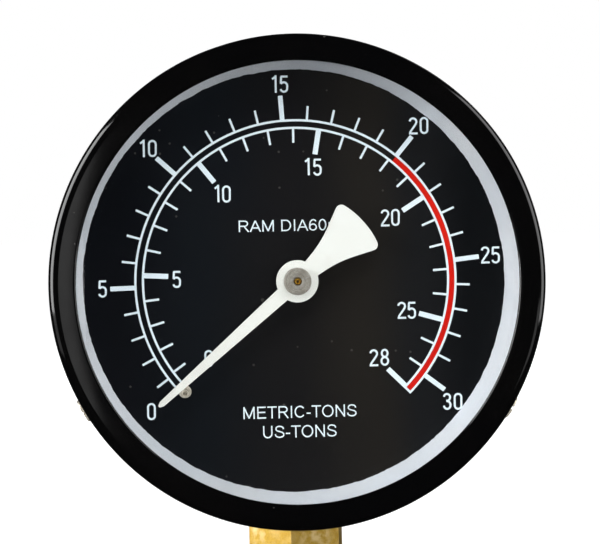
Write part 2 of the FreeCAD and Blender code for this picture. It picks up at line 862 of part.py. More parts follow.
def make_plate(label, back, bottom, with_feet):
    body = new_body(label)
    sketch = new_sketch(body, "XZ_Plane")
    half, top, corner = dims.plate_half_width, dims.plate_top, dims.plate_corner
    outline(sketch, [(-half, -bottom, corner), (half, -bottom, corner), (half, top, corner),
                     (-half, top, corner)])
    spindle = dims.spindle_pivot if with_feet else dims.spindle_nose
    circle(sketch, spindle + dims.running_gap)
    circle(sketch, dims.sector_pivot + dims.running_gap, 0, -gear_distance)
    hole = dims.pillar_tenon if with_feet else dims.movement_screw + dims.screw_clearance
    for x, z in pillar_spots:
        circle(sketch, hole, x, z)
    if with_feet:
        for side in (-1, 1):
            circle(sketch, dims.plate_screw + dims.screw_clearance, side * dims.plate_screw_side,
                   -dims.plate_screw_low)
    pad(body, sketch, dims.plate_thickness)
    place(body, 0, -size(back), centre)
    return body


def make_movement_plates():
    back = make_plate("movement_back_plate", dims.back_plate_back, dims.back_plate_bottom, True)
    front = make_plate("movement_front_plate", front_plate_back, dims.front_plate_bottom, False)
    return [back, front]


def make_pillars():
    pillars = []
    foot = dims.back_plate_back
    seat = foot + dims.plate_thickness
    top = seat + dims.plate_spacing
    blind = dims.movement_screw_length - dims.plate_thickness + 0.4
    for index, (x, z) in enumerate(pillar_spots):
        pillars.append(turned(f"pillar{index}", [
            (0, foot),
            (dims.pillar_tenon, foot),
            (dims.pillar_tenon, seat),
            (dims.pillar_radius, seat),
            (dims.pillar_radius, top),
            (dims.movement_screw, top),
            (dims.movement_screw, top - blind),
            (0, top - blind),
        ], x, centre + z))
    return group("movement_pillars", pillars)


def make_movement_screws():
    screws = []
    for index, (x, z) in enumerate(pillar_spots):
        screw = slotted(f"movement_screw{index}", dims.movement_screw, dims.movement_screw_length,
                        dims.movement_screw_head, dims.movement_screw_head_height)
        screws.append(faced(screw, x, z, front_plate_front, roll=35 * index))
    return group("movement_screws", screws)


def make_plate_screws():
    screws = []
    for index, side in enumerate((-1, 1)):
        screw = slotted(f"plate_screw{index}", dims.plate_screw, dims.plate_screw_length,
                        dims.plate_screw_head, dims.plate_screw_head_height)
        seat = dims.back_plate_back + dims.plate_thickness
        screws.append(faced(screw, side * dims.plate_screw_side, -dims.plate_screw_low, seat, roll=50 * index))
    return group("movement_mounting_screws", screws)


def make_hairspring():
    # a flat spiral from its collet to its stud, as one strip between two spirals
    turns, outer = dims.hairspring_turns.number, dims.hairspring_outer.number
    inner = dims.collet_radius.number + 0.08
    strip = dims.hairspring_strip.number
    steps = int(turns * 12)
    sides = []
    for offset in (0, strip):
        points = []
        for step in range(steps + 1):
            share = step / steps
            points.append(polar(inner + offset + (outer - inner) * share, 2 * math.pi * turns * share))
        curve = Part.BSplineCurve()
        curve.interpolate(points)
        sides.append(curve.toShape())
    caps = []
    for end in (0, -1):
        caps.append(Part.makeLine(sides[0].Vertexes[end].Point, sides[1].Vertexes[end].Point))
    depth = (dims.collet_back + dims.collet_width / 2 - dims.hairspring_height / 2).number
    return shaped("hairspring", extrude_forward(sides + caps, depth, dims.hairspring_height.number), centre)


def make_hairspring_collet():
    front = dims.collet_back + dims.collet_width
    return turned("hairspring_collet", [
        (dims.spindle_body, dims.collet_back),
        (dims.collet_radius, dims.collet_back),
        (dims.collet_radius, front, dims.head_round),
        (dims.spindle_body, front),
    ])


def make_hairspring_stud():
    # hangs from the front plate beside the spring's outer end
    x = dims.hairspring_outer + dims.hairspring_strip + dims.stud_radius + 0.1
    return turned("hairspring_stud", [
        (0, dims.collet_back),
        (dims.stud_radius, dims.collet_back),
        (dims.stud_radius, front_plate_back),
        (0, front_plate_back),
    ], x)


def make_link():
    body = new_body("link")
    sketch = new_sketch(body, "XZ_Plane")
    half, length = dims.link_half, dims.link_length
    outline(sketch, [(-half, -half, half * 0.9), (length + half, -half, half * 0.9),
                     (length + half, half, half * 0.9), (-half, half, half * 0.9)])
    circle(sketch, dims.link_pin + dims.open_pivot_gap)
    circle(sketch, dims.link_pin + dims.running_gap, length, 0)
    pad(body, sketch, dims.link_thickness)
    place(body, tail_x, -link_back, centre + tail_z, -dims.link_angle)
    return body


def make_tail_screw():
    # through the sector's tail, with the link turning on its shank behind
    front = dims.sector_back + dims.sector_thickness
    end = link_back - dims.link_gap / 2
    return turned("tail_screw", [
        (0, end - dims.pin_head_height / 2),
        (dims.link_pin + 0.4, end - dims.pin_head_height / 2),
        (dims.link_pin + 0.4, end),
        (dims.link_pin, end),
        (dims.link_pin, front),
        (dims.pin_head, front),
        (dims.pin_head, front + dims.pin_head_height, dims.head_round),
        (0, front + dims.pin_head_height),
    ], tail_x, centre + tail_z)


def make_tip_screw():
    # through the link and into the tip piece's ear
    front = link_back + dims.link_thickness + dims.link_gap / 2
    return turned("tip_screw", [
        (0, ear_back),
        (dims.link_pin, ear_back),
        (dims.link_pin, front),
        (dims.pin_head, front),
        (dims.pin_head, front + dims.pin_head_height, dims.head_round),
        (0, front + dims.pin_head_height),
    ], tip_pin_x, centre + tip_pin_z)


def tube_section(sketch, grow):
    half = dims.tube_thickness / 2 + grow
    wide = dims.tube_width / 2 + grow
    near, far = dims.tube_radius - half, dims.tube_radius + half
    corner = dims.tube_corner + grow
    behind, ahead = dims.tube_centre - wide, dims.tube_centre + wide
    outline(sketch, [(near, behind, corner), (far, behind, corner), (far, ahead, corner),
                     (near, ahead, corner)])


def make_bourdon_tube():
    body = new_body("bourdon_tube")
    sketch = new_sketch(body, "XY_Plane")
    tube_section(sketch, 0)
    tube_section(sketch, -dims.tube_wall)
    spin(body, sketch, angle=dims.tube_sweep)
    place(body, 0, 0, centre, dims.tube_start)
    return body


def make_tip_piece():
    # a cap on the tube's end, and an ear that comes forward and inward to the link
    cap = new_body("tip_cap")
    sketch = new_sketch(cap, "XY_Plane")
    tube_section(sketch, dims.tip_rim)
    spin(cap, sketch, angle=dims.tip_arc)
    end = dims.tube_start + dims.tube_sweep + dims.tip_joint_gap
    place(cap, 0, 0, centre, end)
    # the ear's outline runs along the line from the cap to the link's pin
    middle = end + dims.tip_arc / 2
    cap_x = dims.tube_radius * cosine(middle)
    cap_z = -dims.tube_radius * sine(middle)
    across = math.hypot(cap_x.number - tip_pin_x.number, cap_z.number - tip_pin_z.number)
    lean = math.degrees(math.atan2(cap_z.number - tip_pin_z.number, cap_x.number - tip_pin_x.number))
    ear = new_body("tip_ear")
    flat = new_sketch(ear, "XZ_Plane")
    half = dims.tip_ear_half
    outline(flat, [(-half, -half, half * 0.9), (across + 1, -half), (across + 1, half), (-half, half, half * 0.9)])
    circle(flat, dims.link_pin)
    pad(ear, flat, dims.tip_ear_thickness)
    place(ear, tip_pin_x, -ear_back, centre + tip_pin_z, -lean)
    post = new_body("tip_post")
    foot = new_sketch(post, "XZ_Plane")
    deep, slim = dims.tube_thickness / 2, dims.tip_post_half
    outline(foot, [(across - deep, -slim), (across + 1, -slim), (across + 1, slim), (across - deep, slim)])
    pad(post, foot, ear_back - (dims.tube_width / 2 - dims.tube_centre) + 0.5)
    seat = dims.tube_width / 2 - dims.tube_centre - 0.5
    place(post, tip_pin_x, -seat, centre + tip_pin_z, -lean)
    result = doc.addObject("Part::MultiFuse", "tip_piece")
    result.Shapes = [cap, ear, post]
    result.Refine = True
    result.Label = "tip_piece"
    return result


def make_socket():
    body = new_body("socket_blank")
    flats = new_sketch(body, "XY_Plane")
    corner = dims.flats_width / math.sqrt(3)
    spokes = [60 * step - 90 - dims.flats_turn for step in range(6)]
    outline(flats, [(corner * cosine(angle), corner * sine(angle)) for angle in spokes])
    pad(body, flats, dims.flats_height)
    # stem and neck, turned about the stem's axis
    turning = new_sketch(body, "XZ_Plane")
    end, chamfer = dims.thread_length, dims.shank_chamfer
    rise = dims.flats_height + dims.block_rise
    outline(turning, [
        (0, -end - dims.spigot_length),
        (dims.spigot_radius, -end - dims.spigot_length),
        (dims.spigot_radius, -end),
        (dims.thread_radius - chamfer, -end),
        (dims.thread_radius, chamfer - end),
        (dims.thread_radius, 0),
        (dims.neck_radius, 0),
        (dims.neck_radius, rise),
        (0, rise),
    ])
    spin(body, turning)
    block = new_sketch(body, "XY_Plane")
    block.AttachmentOffset = FreeCAD.Placement(FreeCAD.Vector(0, 0, rise.number), FreeCAD.Rotation())
    bind(block, "AttachmentOffset.Base.z", rise)
    side = dims.block_half_width
    outline(block, [(-side, -dims.block_front), (side, -dims.block_front), (side, dims.block_back),
                    (-side, dims.block_back)])
    top = centre - dims.block_drop
    pad(body, block, top - rise)
    # the inlet runs up the stem to the level of the tube's root
    inlet = new_sketch(body, "XZ_Plane")
    bore_top = centre - dims.tube_radius
    outline(inlet, [
        (0, -end - dims.spigot_length - 1),
        (dims.inlet_radius, -end - dims.spigot_length - 1),
        (dims.inlet_radius, bore_top),
        (0, bore_top + dims.inlet_radius / 2),
    ])
    doc.recompute()
    volume = body.Shape.Volume
    bore = body.newObject("PartDesign::Groove", "socket_bore")
    bore.Profile = inlet
    bore.ReferenceAxis = (inlet, ["V_Axis"])
    bore.Angle = 360
    # one ring of the thread, repeated down the shank
    ring = new_sketch(body, "XZ_Plane")
    top_ring = -dims.thread_top_band
    outer, root = dims.thread_radius + 0.2, dims.thread_radius - dims.thread_depth
    crest, pitch = dims.thread_crest, dims.thread_pitch
    outline(ring, [
        (outer, top_ring - crest / 2),
        (root, top_ring - pitch / 2 + crest / 2),
        (root, top_ring - pitch / 2 - crest / 2),
        (outer, top_ring - pitch + crest / 2),
    ])
    groove = body.newObject("PartDesign::Groove", "socket_thread_ring")
    groove.Profile = ring
    groove.ReferenceAxis = (ring, ["V_Axis"])
    groove.Angle = 360
    doc.recompute()
    one_ring = body.Shape.Volume
    rows = int((dims.thread_length.number - dims.thread_top_band.number) / pitch.number)
    rings = body.newObject("PartDesign::LinearPattern", "socket_thread")
    rings.Originals = [groove]
    upright = [f for f in body.Origin.OriginFeatures if f.Role == "Z_Axis"][0]
    rings.Direction = (upright, [""])
    rings.Reversed = True
    rings.Length = ((rows - 1) * pitch).number
    rings.Occurrences = rows
    bind(rings, "Length", (rows - 1) * pitch)
    body.Tip = rings
    doc.recompute()
    if not body.Shape.Volume < one_ring < volume:
        raise RuntimeError("the socket's bore or thread cuts nothing")
    return cut("socket", body, socket_tools())


def socket_tools():
    tools = []
    # the slot that the tube is soldered into
    slot = new_body("tube_slot")
    sketch = new_sketch(slot, "XY_Plane")
    tube_section(sketch, dims.solder_gap)
    spin(slot, sketch, angle=60)
    place(slot, 0, 0, centre, dims.tube_start)
    tools.append(slot)
    for index, side in enumerate((-1, 1)):
        tools.append(drill(f"plate_tap{index}", dims.plate_screw, dims.plate_screw_length,
                           side * dims.plate_screw_side, -dims.plate_screw_low, dims.block_front + 1))
        tools.append(drill(f"case_tap{index}", dims.case_screw_shank, dims.case_screw_grip + 2,
                           side * dims.case_screw_side, -dims.case_screw_low,
                           dims.case_screw_grip + 0.5 - dims.block_back))
    # the cross passage from the inlet to the tube's root
    passage = doc.addObject("Part::Cylinder", "socket_passage")
    bind(passage, "Radius", dims.inlet_radius)
    bind(passage, "Height", dims.block_half_width - 2)
    passage.Placement.Rotation = FreeCAD.Rotation(FreeCAD.Vector(0, 1, 0), -90)
    bind(passage, "Placement.Base.z", centre - dims.tube_radius)
    tools.append(passage)
    return tools


def make_restrictor():
    # a small plug with a fine hole, screwed into the inlet just above the spigot's mouth
    body = new_body("restrictor")
    sketch = new_sketch(body, "XZ_Plane")
    inner, outer = dims.restrictor_orifice, dims.inlet_radius - dims.running_gap
    low = dims.restrictor_depth - dims.thread_length - dims.spigot_length
    high = low + dims.restrictor_length
    outline(sketch, [(inner, low), (outer, low), (outer, high), (inner, high)])
    spin(body, sketch)
    return body


def make_socket_gasket():
    # a rubber saddle between the flats and the round case
    ring = new_body("socket_gasket_ring")
    sketch = new_sketch(ring, "XY_Plane")
    circle(sketch, dims.socket_gasket_radius)
    circle(sketch, dims.neck_radius + 0.05)
    pad(ring, sketch, dims.case_seat_gap * 3)
    place(ring, 0, 0, dims.flats_height)
    drum = drill("gasket_saddle", case_outer, dims.case_depth * 2, 0, 0, dims.case_depth)
    return cut("socket_gasket", ring, [drum])


def make_case_fixings():
    bushes, screws = [], []
    inside = dims.case_depth - dims.case_wall
    for index, side in enumerate((-1, 1)):
        x = side * dims.case_screw_side
        z = centre - dims.case_screw_low
        inner = dims.case_screw_shank + dims.screw_clearance
        bushes.append(turned(f"spacer_bush{index}", [
            (inner, -dims.block_back),
            (dims.spacer_bush_radius, -dims.block_back),
            (dims.spacer_bush_radius, -inside),
            (inner, -inside),
        ], x, z))
        length = dims.case_wall + inside - dims.block_back + dims.case_screw_grip
        screw = slotted(f"case_screw{index}", dims.case_screw_shank, length, dims.case_screw_head,
                        dims.case_screw_head_height, dome=dims.case_screw_dome)
        screws.append(faced(screw, x, -dims.case_screw_low, -dims.case_depth, forward=False, roll=40 * index))
    return [group("case_spacer_bushes", bushes), group("case_screws", screws)]


def make_blowout_plug():
    # a soft plug pushed into the back wall, held by a lip on each side of the wall
    outside, inside = -dims.case_depth, dims.case_wall - dims.case_depth
    lip = dims.blowout_radius + dims.blowout_lip
    cap = dims.blowout_cap
    return turned("blowout_plug", [
        (0, outside - cap),
        (lip, outside - cap, dims.blowout_round),
        (lip, outside),
        (dims.blowout_radius, outside),
        (dims.blowout_radius, inside),
        (lip - dims.blowout_hook, inside),
        (dims.blowout_radius - dims.blowout_taper, inside + dims.blowout_tail),
        (0, inside + dims.blowout_tail),
    ], 0, centre + dims.blowout_high)


def build():
    nodes = [
        make_case(), make_bezel(), make_bezel_screws(), make_window(), make_window_gasket(),
        make_spacer_ring(), make_dial(), make_stop_pin(), make_pointer(), make_pointer_hub(),
        make_pinion_arbor(), make_sector_gear(), make_sector_arbor(), make_pillars(),
        make_movement_screws(), make_plate_screws(), make_hairspring(), make_hairspring_collet(),
        make_hairspring_stud(), make_link(), make_tail_screw(), make_tip_screw(), make_bourdon_tube(),
        make_tip_piece(), make_socket(), make_restrictor(), make_socket_gasket(), make_blowout_plug(),
    ]
    return nodes + make_movement_plates() + make_case_fixings()


nodes = build()
doc.recompute()
for thing in doc.Objects:
    if "Invalid" in thing.State or "Error" in thing.State:
        raise RuntimeError(f"{thing.Label} is {thing.State}")
for node in nodes:
    if node.Shape.isNull() or not node.Shape.isValid():
        raise RuntimeError(f"{node.Label} has no valid shape")
os.makedirs("parts", exist_ok=True)
for node in nodes:
    node.Shape.exportStep(f"parts/{node.Label}.step")
print(len(nodes), "nodes written")
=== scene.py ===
import math

import bmesh
import bpy
from mathutils import Matrix, Vector


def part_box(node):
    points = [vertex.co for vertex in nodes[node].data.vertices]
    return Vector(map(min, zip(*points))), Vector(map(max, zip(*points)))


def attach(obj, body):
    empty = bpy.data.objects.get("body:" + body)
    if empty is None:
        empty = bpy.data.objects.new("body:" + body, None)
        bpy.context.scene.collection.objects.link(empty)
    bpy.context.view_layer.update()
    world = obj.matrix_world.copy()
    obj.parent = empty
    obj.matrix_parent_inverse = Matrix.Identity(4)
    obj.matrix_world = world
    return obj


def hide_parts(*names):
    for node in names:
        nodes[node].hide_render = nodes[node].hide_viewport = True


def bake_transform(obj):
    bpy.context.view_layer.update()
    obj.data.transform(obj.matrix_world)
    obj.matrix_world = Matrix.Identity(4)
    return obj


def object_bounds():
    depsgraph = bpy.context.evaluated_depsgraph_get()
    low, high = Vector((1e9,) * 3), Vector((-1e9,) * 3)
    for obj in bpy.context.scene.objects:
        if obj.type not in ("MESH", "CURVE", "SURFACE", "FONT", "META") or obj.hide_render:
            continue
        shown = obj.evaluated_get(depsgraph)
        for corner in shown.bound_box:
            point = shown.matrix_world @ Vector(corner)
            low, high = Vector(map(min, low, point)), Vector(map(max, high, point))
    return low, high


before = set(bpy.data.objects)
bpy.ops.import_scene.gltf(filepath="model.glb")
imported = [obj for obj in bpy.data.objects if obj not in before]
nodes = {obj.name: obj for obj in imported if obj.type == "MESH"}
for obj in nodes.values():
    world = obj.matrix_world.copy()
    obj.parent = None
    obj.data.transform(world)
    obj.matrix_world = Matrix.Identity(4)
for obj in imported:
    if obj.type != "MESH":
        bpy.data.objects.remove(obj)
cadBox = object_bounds()
mm = 0.001
tiny = 2e-6  # how near two places are when they count as one, in metres

# Depths are millimetres from the stem's axis towards the viewer (-Y), and radii are from a piece's own axis.


def low(node):
    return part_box(node)[0] / mm


def high(node):
    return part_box(node)[1] / mm


def faceDepth(node):
    return -low(node).y


def backDepth(node):
    return -high(node).y


def reach(node):
    return (high(node).x - low(node).x) / 2


spindleZ = (low("dial").z + high("dial").z) / 2
spindle = (0.0, 0.0, spindleZ)
print("frame loaded, spindle at", round(spindleZ, 3), "mm")


# ---- modelling helpers

def clearSelection():
    if bpy.context.object and bpy.context.object.mode != "OBJECT":
        bpy.ops.object.mode_set(mode="OBJECT")
    bpy.ops.object.select_all(action="DESELECT")


def choose(piece, *others):
    clearSelection()
    for one in (piece, *others):
        one.select_set(True)
    bpy.context.view_layer.objects.active = piece


def selectAll(wanted=True):
    bpy.ops.mesh.select_all(action="SELECT" if wanted else "DESELECT")


def editing(piece, kind="VERT"):
    choose(piece)
    bpy.ops.object.mode_set(mode="EDIT")
    bpy.ops.mesh.select_mode(type=kind)
    selectAll(False)


def leaveEditing():
    bpy.ops.object.mode_set(mode="OBJECT")


def settle(piece):
    choose(piece)
    bpy.ops.object.transform_apply(location=True, rotation=True, scale=True)
    return piece


def pick(piece, test, kind="verts"):
    # selects what passes the test, in edit mode
    mesh = bmesh.from_edit_mesh(piece.data)
    found = 0
    for item in getattr(mesh, kind):
        if test(item):
            item.select_set(True)
            found += 1
    mesh.select_flush_mode()
    bmesh.update_edit_mesh(piece.data)
    return found


def heal(outward=True):
    # in edit mode: merges doubled vertices, and turns the faces outward
    selectAll()
    bpy.ops.mesh.remove_doubles(threshold=tiny / 2)
    if outward:
        bpy.ops.mesh.normals_make_consistent(inside=False)


def capEnds(piece):
    editing(piece, "EDGE")
    bpy.ops.mesh.select_non_manifold()
    bpy.ops.mesh.fill_holes(sides=0)
    heal()
    leaveEditing()


def roundAlong(piece, axis, width, segments):
    # rounds the edges that run along one axis
    editing(piece, "EDGE")
    pick(piece, lambda e: abs((e.verts[0].co - e.verts[1].co).normalized()[axis]) > 0.9, "edges")
    bpy.ops.mesh.bevel(offset=width * mm, segments=segments, affect="EDGES")
    leaveEditing()


def turned(name, profile, place=spindle, upright=False, steps=192, rounds=(), angle=360, start=0):
    # a profile of (radius, along) drawn by extruding one vertex, then spun about its axis;
    # rounds are corners of it, as (radius, along, size, segments)
    along = Vector((0, 0, 1)) if upright else Vector((0, -1, 0))
    axis = Vector((0, 0, 1)) if upright else Vector((0, 1, 0))
    centre = Vector(place) * mm
    outwards = Matrix.Rotation(math.radians(-start), 3, axis) @ Vector((1, 0, 0))
    points = [centre + outwards * radius * mm + along * far * mm for radius, far in profile]
    clearSelection()
    bpy.ops.mesh.primitive_plane_add(size=mm, location=points[0])
    piece = settle(bpy.context.object)
    piece.name = piece.data.name = name
    editing(piece)
    selectAll()
    bpy.ops.mesh.merge(type="CENTER")
    for a, b in zip(points, points[1:]):
        bpy.ops.mesh.extrude_region_move(TRANSFORM_OT_translate={"value": b - a})
    selectAll()
    bpy.ops.mesh.spin(steps=steps, angle=math.radians(-angle), center=centre, axis=axis)
    heal()
    bpy.ops.mesh.select_mode(type="EDGE")
    for radius, far, size, segments in rounds:
        selectAll(False)

        def onCorner(vertex):
            arm = vertex.co - centre
            depth = arm.dot(along)
            return (abs(depth - far * mm) < tiny
                    and abs((arm - along * depth).length - radius * mm) < tiny)

        if pick(piece, lambda edge: all(onCorner(v) for v in edge.verts), "edges"):
            bpy.ops.mesh.bevel(offset=size * mm, segments=segments, affect="EDGES", clamp_overlap=True)
        else:
            print("no edge to round on", name, radius, far)
    leaveEditing()
    return piece


def drillRod(radius, first, last, place, axis="Y"):
    # a cylinder between two coordinates along Y or Z, used to cut or join
    clearSelection()
    middle = Vector(place) * mm
    spot = {"Y": 1, "Z": 2}[axis]
    middle[spot] = (first + last) / 2 * mm
    tilt = (math.radians(90), 0, 0) if axis == "Y" else (0, 0, 0)
    bpy.ops.mesh.primitive_cylinder_add(vertices=64, radius=radius * mm, depth=abs(last - first) * mm,
                                        location=middle, rotation=tilt)
    return settle(bpy.context.object)


def slab(size, place):
    clearSelection()
    bpy.ops.mesh.primitive_cube_add(size=1, location=Vector(place) * mm, scale=Vector(size) * mm)
    return settle(bpy.context.object)


def combine(piece, tool, operation="DIFFERENCE"):
    choose(piece)
    change = piece.modifiers.new("combine", "BOOLEAN")
    change.operation = operation
    change.solver = "EXACT"
    change.object = tool
    bpy.ops.object.modifier_apply(modifier=change.name)
    bpy.data.objects.remove(tool)
    return piece


def join(pieces, name):
    choose(*pieces)
    bpy.ops.object.join()
    piece = bpy.context.object
    piece.name = piece.data.name = name
    return piece


def duplicate(piece, move):
    twin = bpy.data.objects.new(piece.name, piece.data.copy())
    bpy.context.scene.collection.objects.link(twin)
    twin.data.transform(move)
    return twin


def copyOfNode(node, name):
    piece = bpy.data.objects.new(name, nodes[node].data.copy())
    bpy.context.scene.collection.objects.link(piece)
    editing(piece)
    heal(outward=False)
    leaveEditing()
    return piece


def softenEdges(piece, width, segments=2, angle=35):
    choose(piece)
    change = piece.modifiers.new("edges", "BEVEL")
    change.limit_method = "ANGLE"
    change.angle_limit = math.radians(angle)
    change.width = width * mm
    change.segments = segments
    bpy.ops.object.modifier_apply(modifier=change.name)


def complete(piece, finish, body="housing", replaced=(), smooth=32):
    settle(piece)
    piece.data.materials.clear()
    piece.data.materials.append(finish)
    bpy.ops.object.shade_smooth_by_angle(angle=math.radians(smooth))
    change = piece.modifiers.new("even", "WEIGHTED_NORMAL")
    change.keep_sharp = True
    bpy.ops.object.modifier_apply(modifier=change.name)
    if body:
        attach(piece, body)
    if replaced:
        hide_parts(*replaced)


# ---- shader helpers

def add(tree, kind, inputs=None, **settings):
    # an input is linked when it is given a socket, and set when it is given a value
    made = tree.nodes.new("ShaderNode" + kind)
    for key, value in settings.items():
        setattr(made, key, value)
    for key, value in (inputs or {}).items():
        if isinstance(value, bpy.types.NodeSocket):
            tree.links.new(value, made.inputs[key])
        else:
            made.inputs[key].default_value = value
    return made


def useEffect(tree, effect, inputs):
    return add(tree, "Group", inputs, node_tree=effect).outputs


def calculate(tree, operation, a, b):
    return add(tree, "Math", {0: a, 1: b}, operation=operation).outputs[0]


def blendColour(tree, share, a, b):
    return add(tree, "Mix", {"Factor": share, "A": a, "B": b}, data_type="RGBA").outputs["Result"]


def remap(tree, value, fromMin=0.0, fromMax=1.0, toMin=0.0, toMax=1.0):
    return add(tree, "MapRange", {"Value": value, "From Min": fromMin, "From Max": fromMax,
                                  "To Min": toMin, "To Max": toMax}).outputs["Result"]


def sharedEffect(name, output, **inputs):
    # a node group with a Vector input, the given number inputs and one number output
    group = bpy.data.node_groups.new(name, "ShaderNodeTree")
    group.interface.new_socket(name="Vector", in_out="INPUT", socket_type="NodeSocketVector")
    for label, value in inputs.items():
        socket = group.interface.new_socket(name=label, in_out="INPUT", socket_type="NodeSocketFloat")
        socket.default_value = value
    group.interface.new_socket(name=output, in_out="OUTPUT", socket_type="NodeSocketFloat")
    return group, group.nodes.new("NodeGroupInput").outputs, group.nodes.new("NodeGroupOutput").inputs


def buildDustSpecks():
    # small round specks scattered thinly: few of the cells hold one
    group, given, out = sharedEffect("dustSpecks", "Specks", Scale=400.0, Coverage=0.02, Size=0.22)
    cells = add(group, "TexVoronoi", {"Vector": given["Vector"], "Scale": given["Scale"]}).outputs
    lots = add(group, "SeparateColor", {"Color": cells["Color"]}).outputs
    wanted = calculate(group, "LESS_THAN", lots["Red"], given["Coverage"])
    size = calculate(group, "MULTIPLY", given["Size"], lots["Green"])
    near = calculate(group, "LESS_THAN", cells["Distance"], size)
    group.links.new(calculate(group, "MULTIPLY", wanted, near), out["Specks"])
    return group


def buildBroadPatches():
    # broad uneven patches, 0 to 1; on the dial they blend its tone with a painted reflection colour
    group, given, out = sharedEffect("broadPatches", "Patches", Scale=40.0, From=0.42, To=0.68)
    cloud = add(group, "TexNoise", {"Vector": given["Vector"], "Scale": given["Scale"], "Detail": 4.0,
                                    "Roughness": 0.55, "Distortion": 0.4}).outputs["Fac"]
    group.links.new(remap(group, cloud, given["From"], given["To"]), out["Patches"])
    return group


def buildGrain():
    # fine surface grain: two sizes of noise, stretched by the vector it is given
    group, given, out = sharedEffect("grain", "Height", Scale=3000.0, Coarse=0.35)
    wideScale = calculate(group, "MULTIPLY", given["Scale"], 0.22)
    fine = add(group, "TexNoise", {"Vector": given["Vector"], "Scale": given["Scale"], "Detail": 3.0})
    wide = add(group, "TexNoise", {"Vector": given["Vector"], "Scale": wideScale, "Detail": 2.0})
    both = add(group, "Mix", {"Factor": given["Coarse"], "A": fine.outputs["Fac"],
                              "B": wide.outputs["Fac"]}, data_type="FLOAT")
    group.links.new(both.outputs["Result"], out["Height"])
    return group


def buildTurningMarks():
    # rings left by a cutting tool about the Y axis of the vector it is given
    group, given, out = sharedEffect("turningMarks", "Rings", RingsPerMetre=6000.0)
    split = add(group, "SeparateXYZ", {"Vector": given["Vector"]}).outputs
    flat = add(group, "CombineXYZ", {"X": split["X"], "Y": split["Z"]}).outputs["Vector"]
    radius = add(group, "VectorMath", {0: flat}, operation="LENGTH").outputs["Value"]
    along = calculate(group, "MULTIPLY", radius, given["RingsPerMetre"])
    rings = add(group, "TexNoise", {"W": along, "Scale": 1.0, "Detail": 2.0}, noise_dimensions="1D")
    group.links.new(rings.outputs["Fac"], out["Rings"])
    return group


def buildEdgeRubAndHighlight():
    # convex edges, broken up: rubbed wear, and a painted edge highlight where the finish gives a lighter edge
    # tone
    group, given, out = sharedEffect("edgeRubAndHighlight", "RubAndHighlight", Scale=500.0, Amount=0.5)
    edge = remap(group, add(group, "NewGeometry").outputs["Pointiness"], 0.53, 0.62)
    broken = add(group, "TexNoise", {"Vector": given["Vector"], "Scale": given["Scale"], "Detail": 3.0})
    rubbedAndLit = calculate(group, "MULTIPLY", edge, remap(group, broken.outputs["Fac"], 0.4, 0.6))
    group.links.new(calculate(group, "MULTIPLY", rubbedAndLit, given["Amount"]), out["RubAndHighlight"])
    return group


dustSpecks = buildDustSpecks()
broadPatches = buildBroadPatches()
grain = buildGrain()
turningMarks = buildTurningMarks()
edgeRubAndHighlight = buildEdgeRubAndHighlight()


finishDefaults = {
    "centre": spindle, "driftScale": 45.0, "stretch": (1, 1, 1), "grainScale": 2500.0, "coarse": 0.35,
    "grainShare": 0.6, "ringShare": 0.5, "rubAndHighlightAmount": 0.5, "dustShare": 0.6, "dustTone": (0.3, 0.29, 0.27),
    "bump": 0.2, "bumpDepth": 0.02, "metal": 0.0, "specular": 0.5,
    # how far the painted reflection bands of "across" reach from the middle, how far the patches shift them,
    # and their share
    "acrossReach": 50.0, "acrossDrift": 5.0, "acrossShare": 0.85,
    "grainRange": (0.42, 0.62), "ringRange": (0.42, 0.6), "ringRough": 0.1, "grainUnderRings": 0.3,
    "dustLayers": ((900.0, 0.3), (260.0, 0.24)),  # cells per metre, largest speck in a cell
}


def newMaterial(name):
    made = bpy.data.materials.new(name)
    made.use_nodes = True
    return made, made.node_tree, made.node_tree.nodes["Principled BSDF"]


def paintedReflectionAcross(tree, centred, patches, look):
    # painted reflection: bands of colour from left to right that stand for a warm room mirrored in the dial,
    # as stops of (place, colour)
    side = add(tree, "SeparateXYZ", {"Vector": centred}).outputs["X"]
    drifted = calculate(tree, "ADD", side, calculate(tree, "MULTIPLY", patches, look["acrossDrift"] * mm))
    span = remap(tree, drifted, -look["acrossReach"] * mm, look["acrossReach"] * mm)
    ramp = add(tree, "ValToRGB", {"Fac": span})
    ramp.color_ramp.interpolation = "EASE"
    while len(ramp.color_ramp.elements) < len(look["across"]):
        ramp.color_ramp.elements.new(0.5)
    for stop, (position, tone) in zip(ramp.color_ramp.elements, look["across"]):
        stop.position, stop.color = position, (*tone, 1)
    return ramp.outputs["Color"]


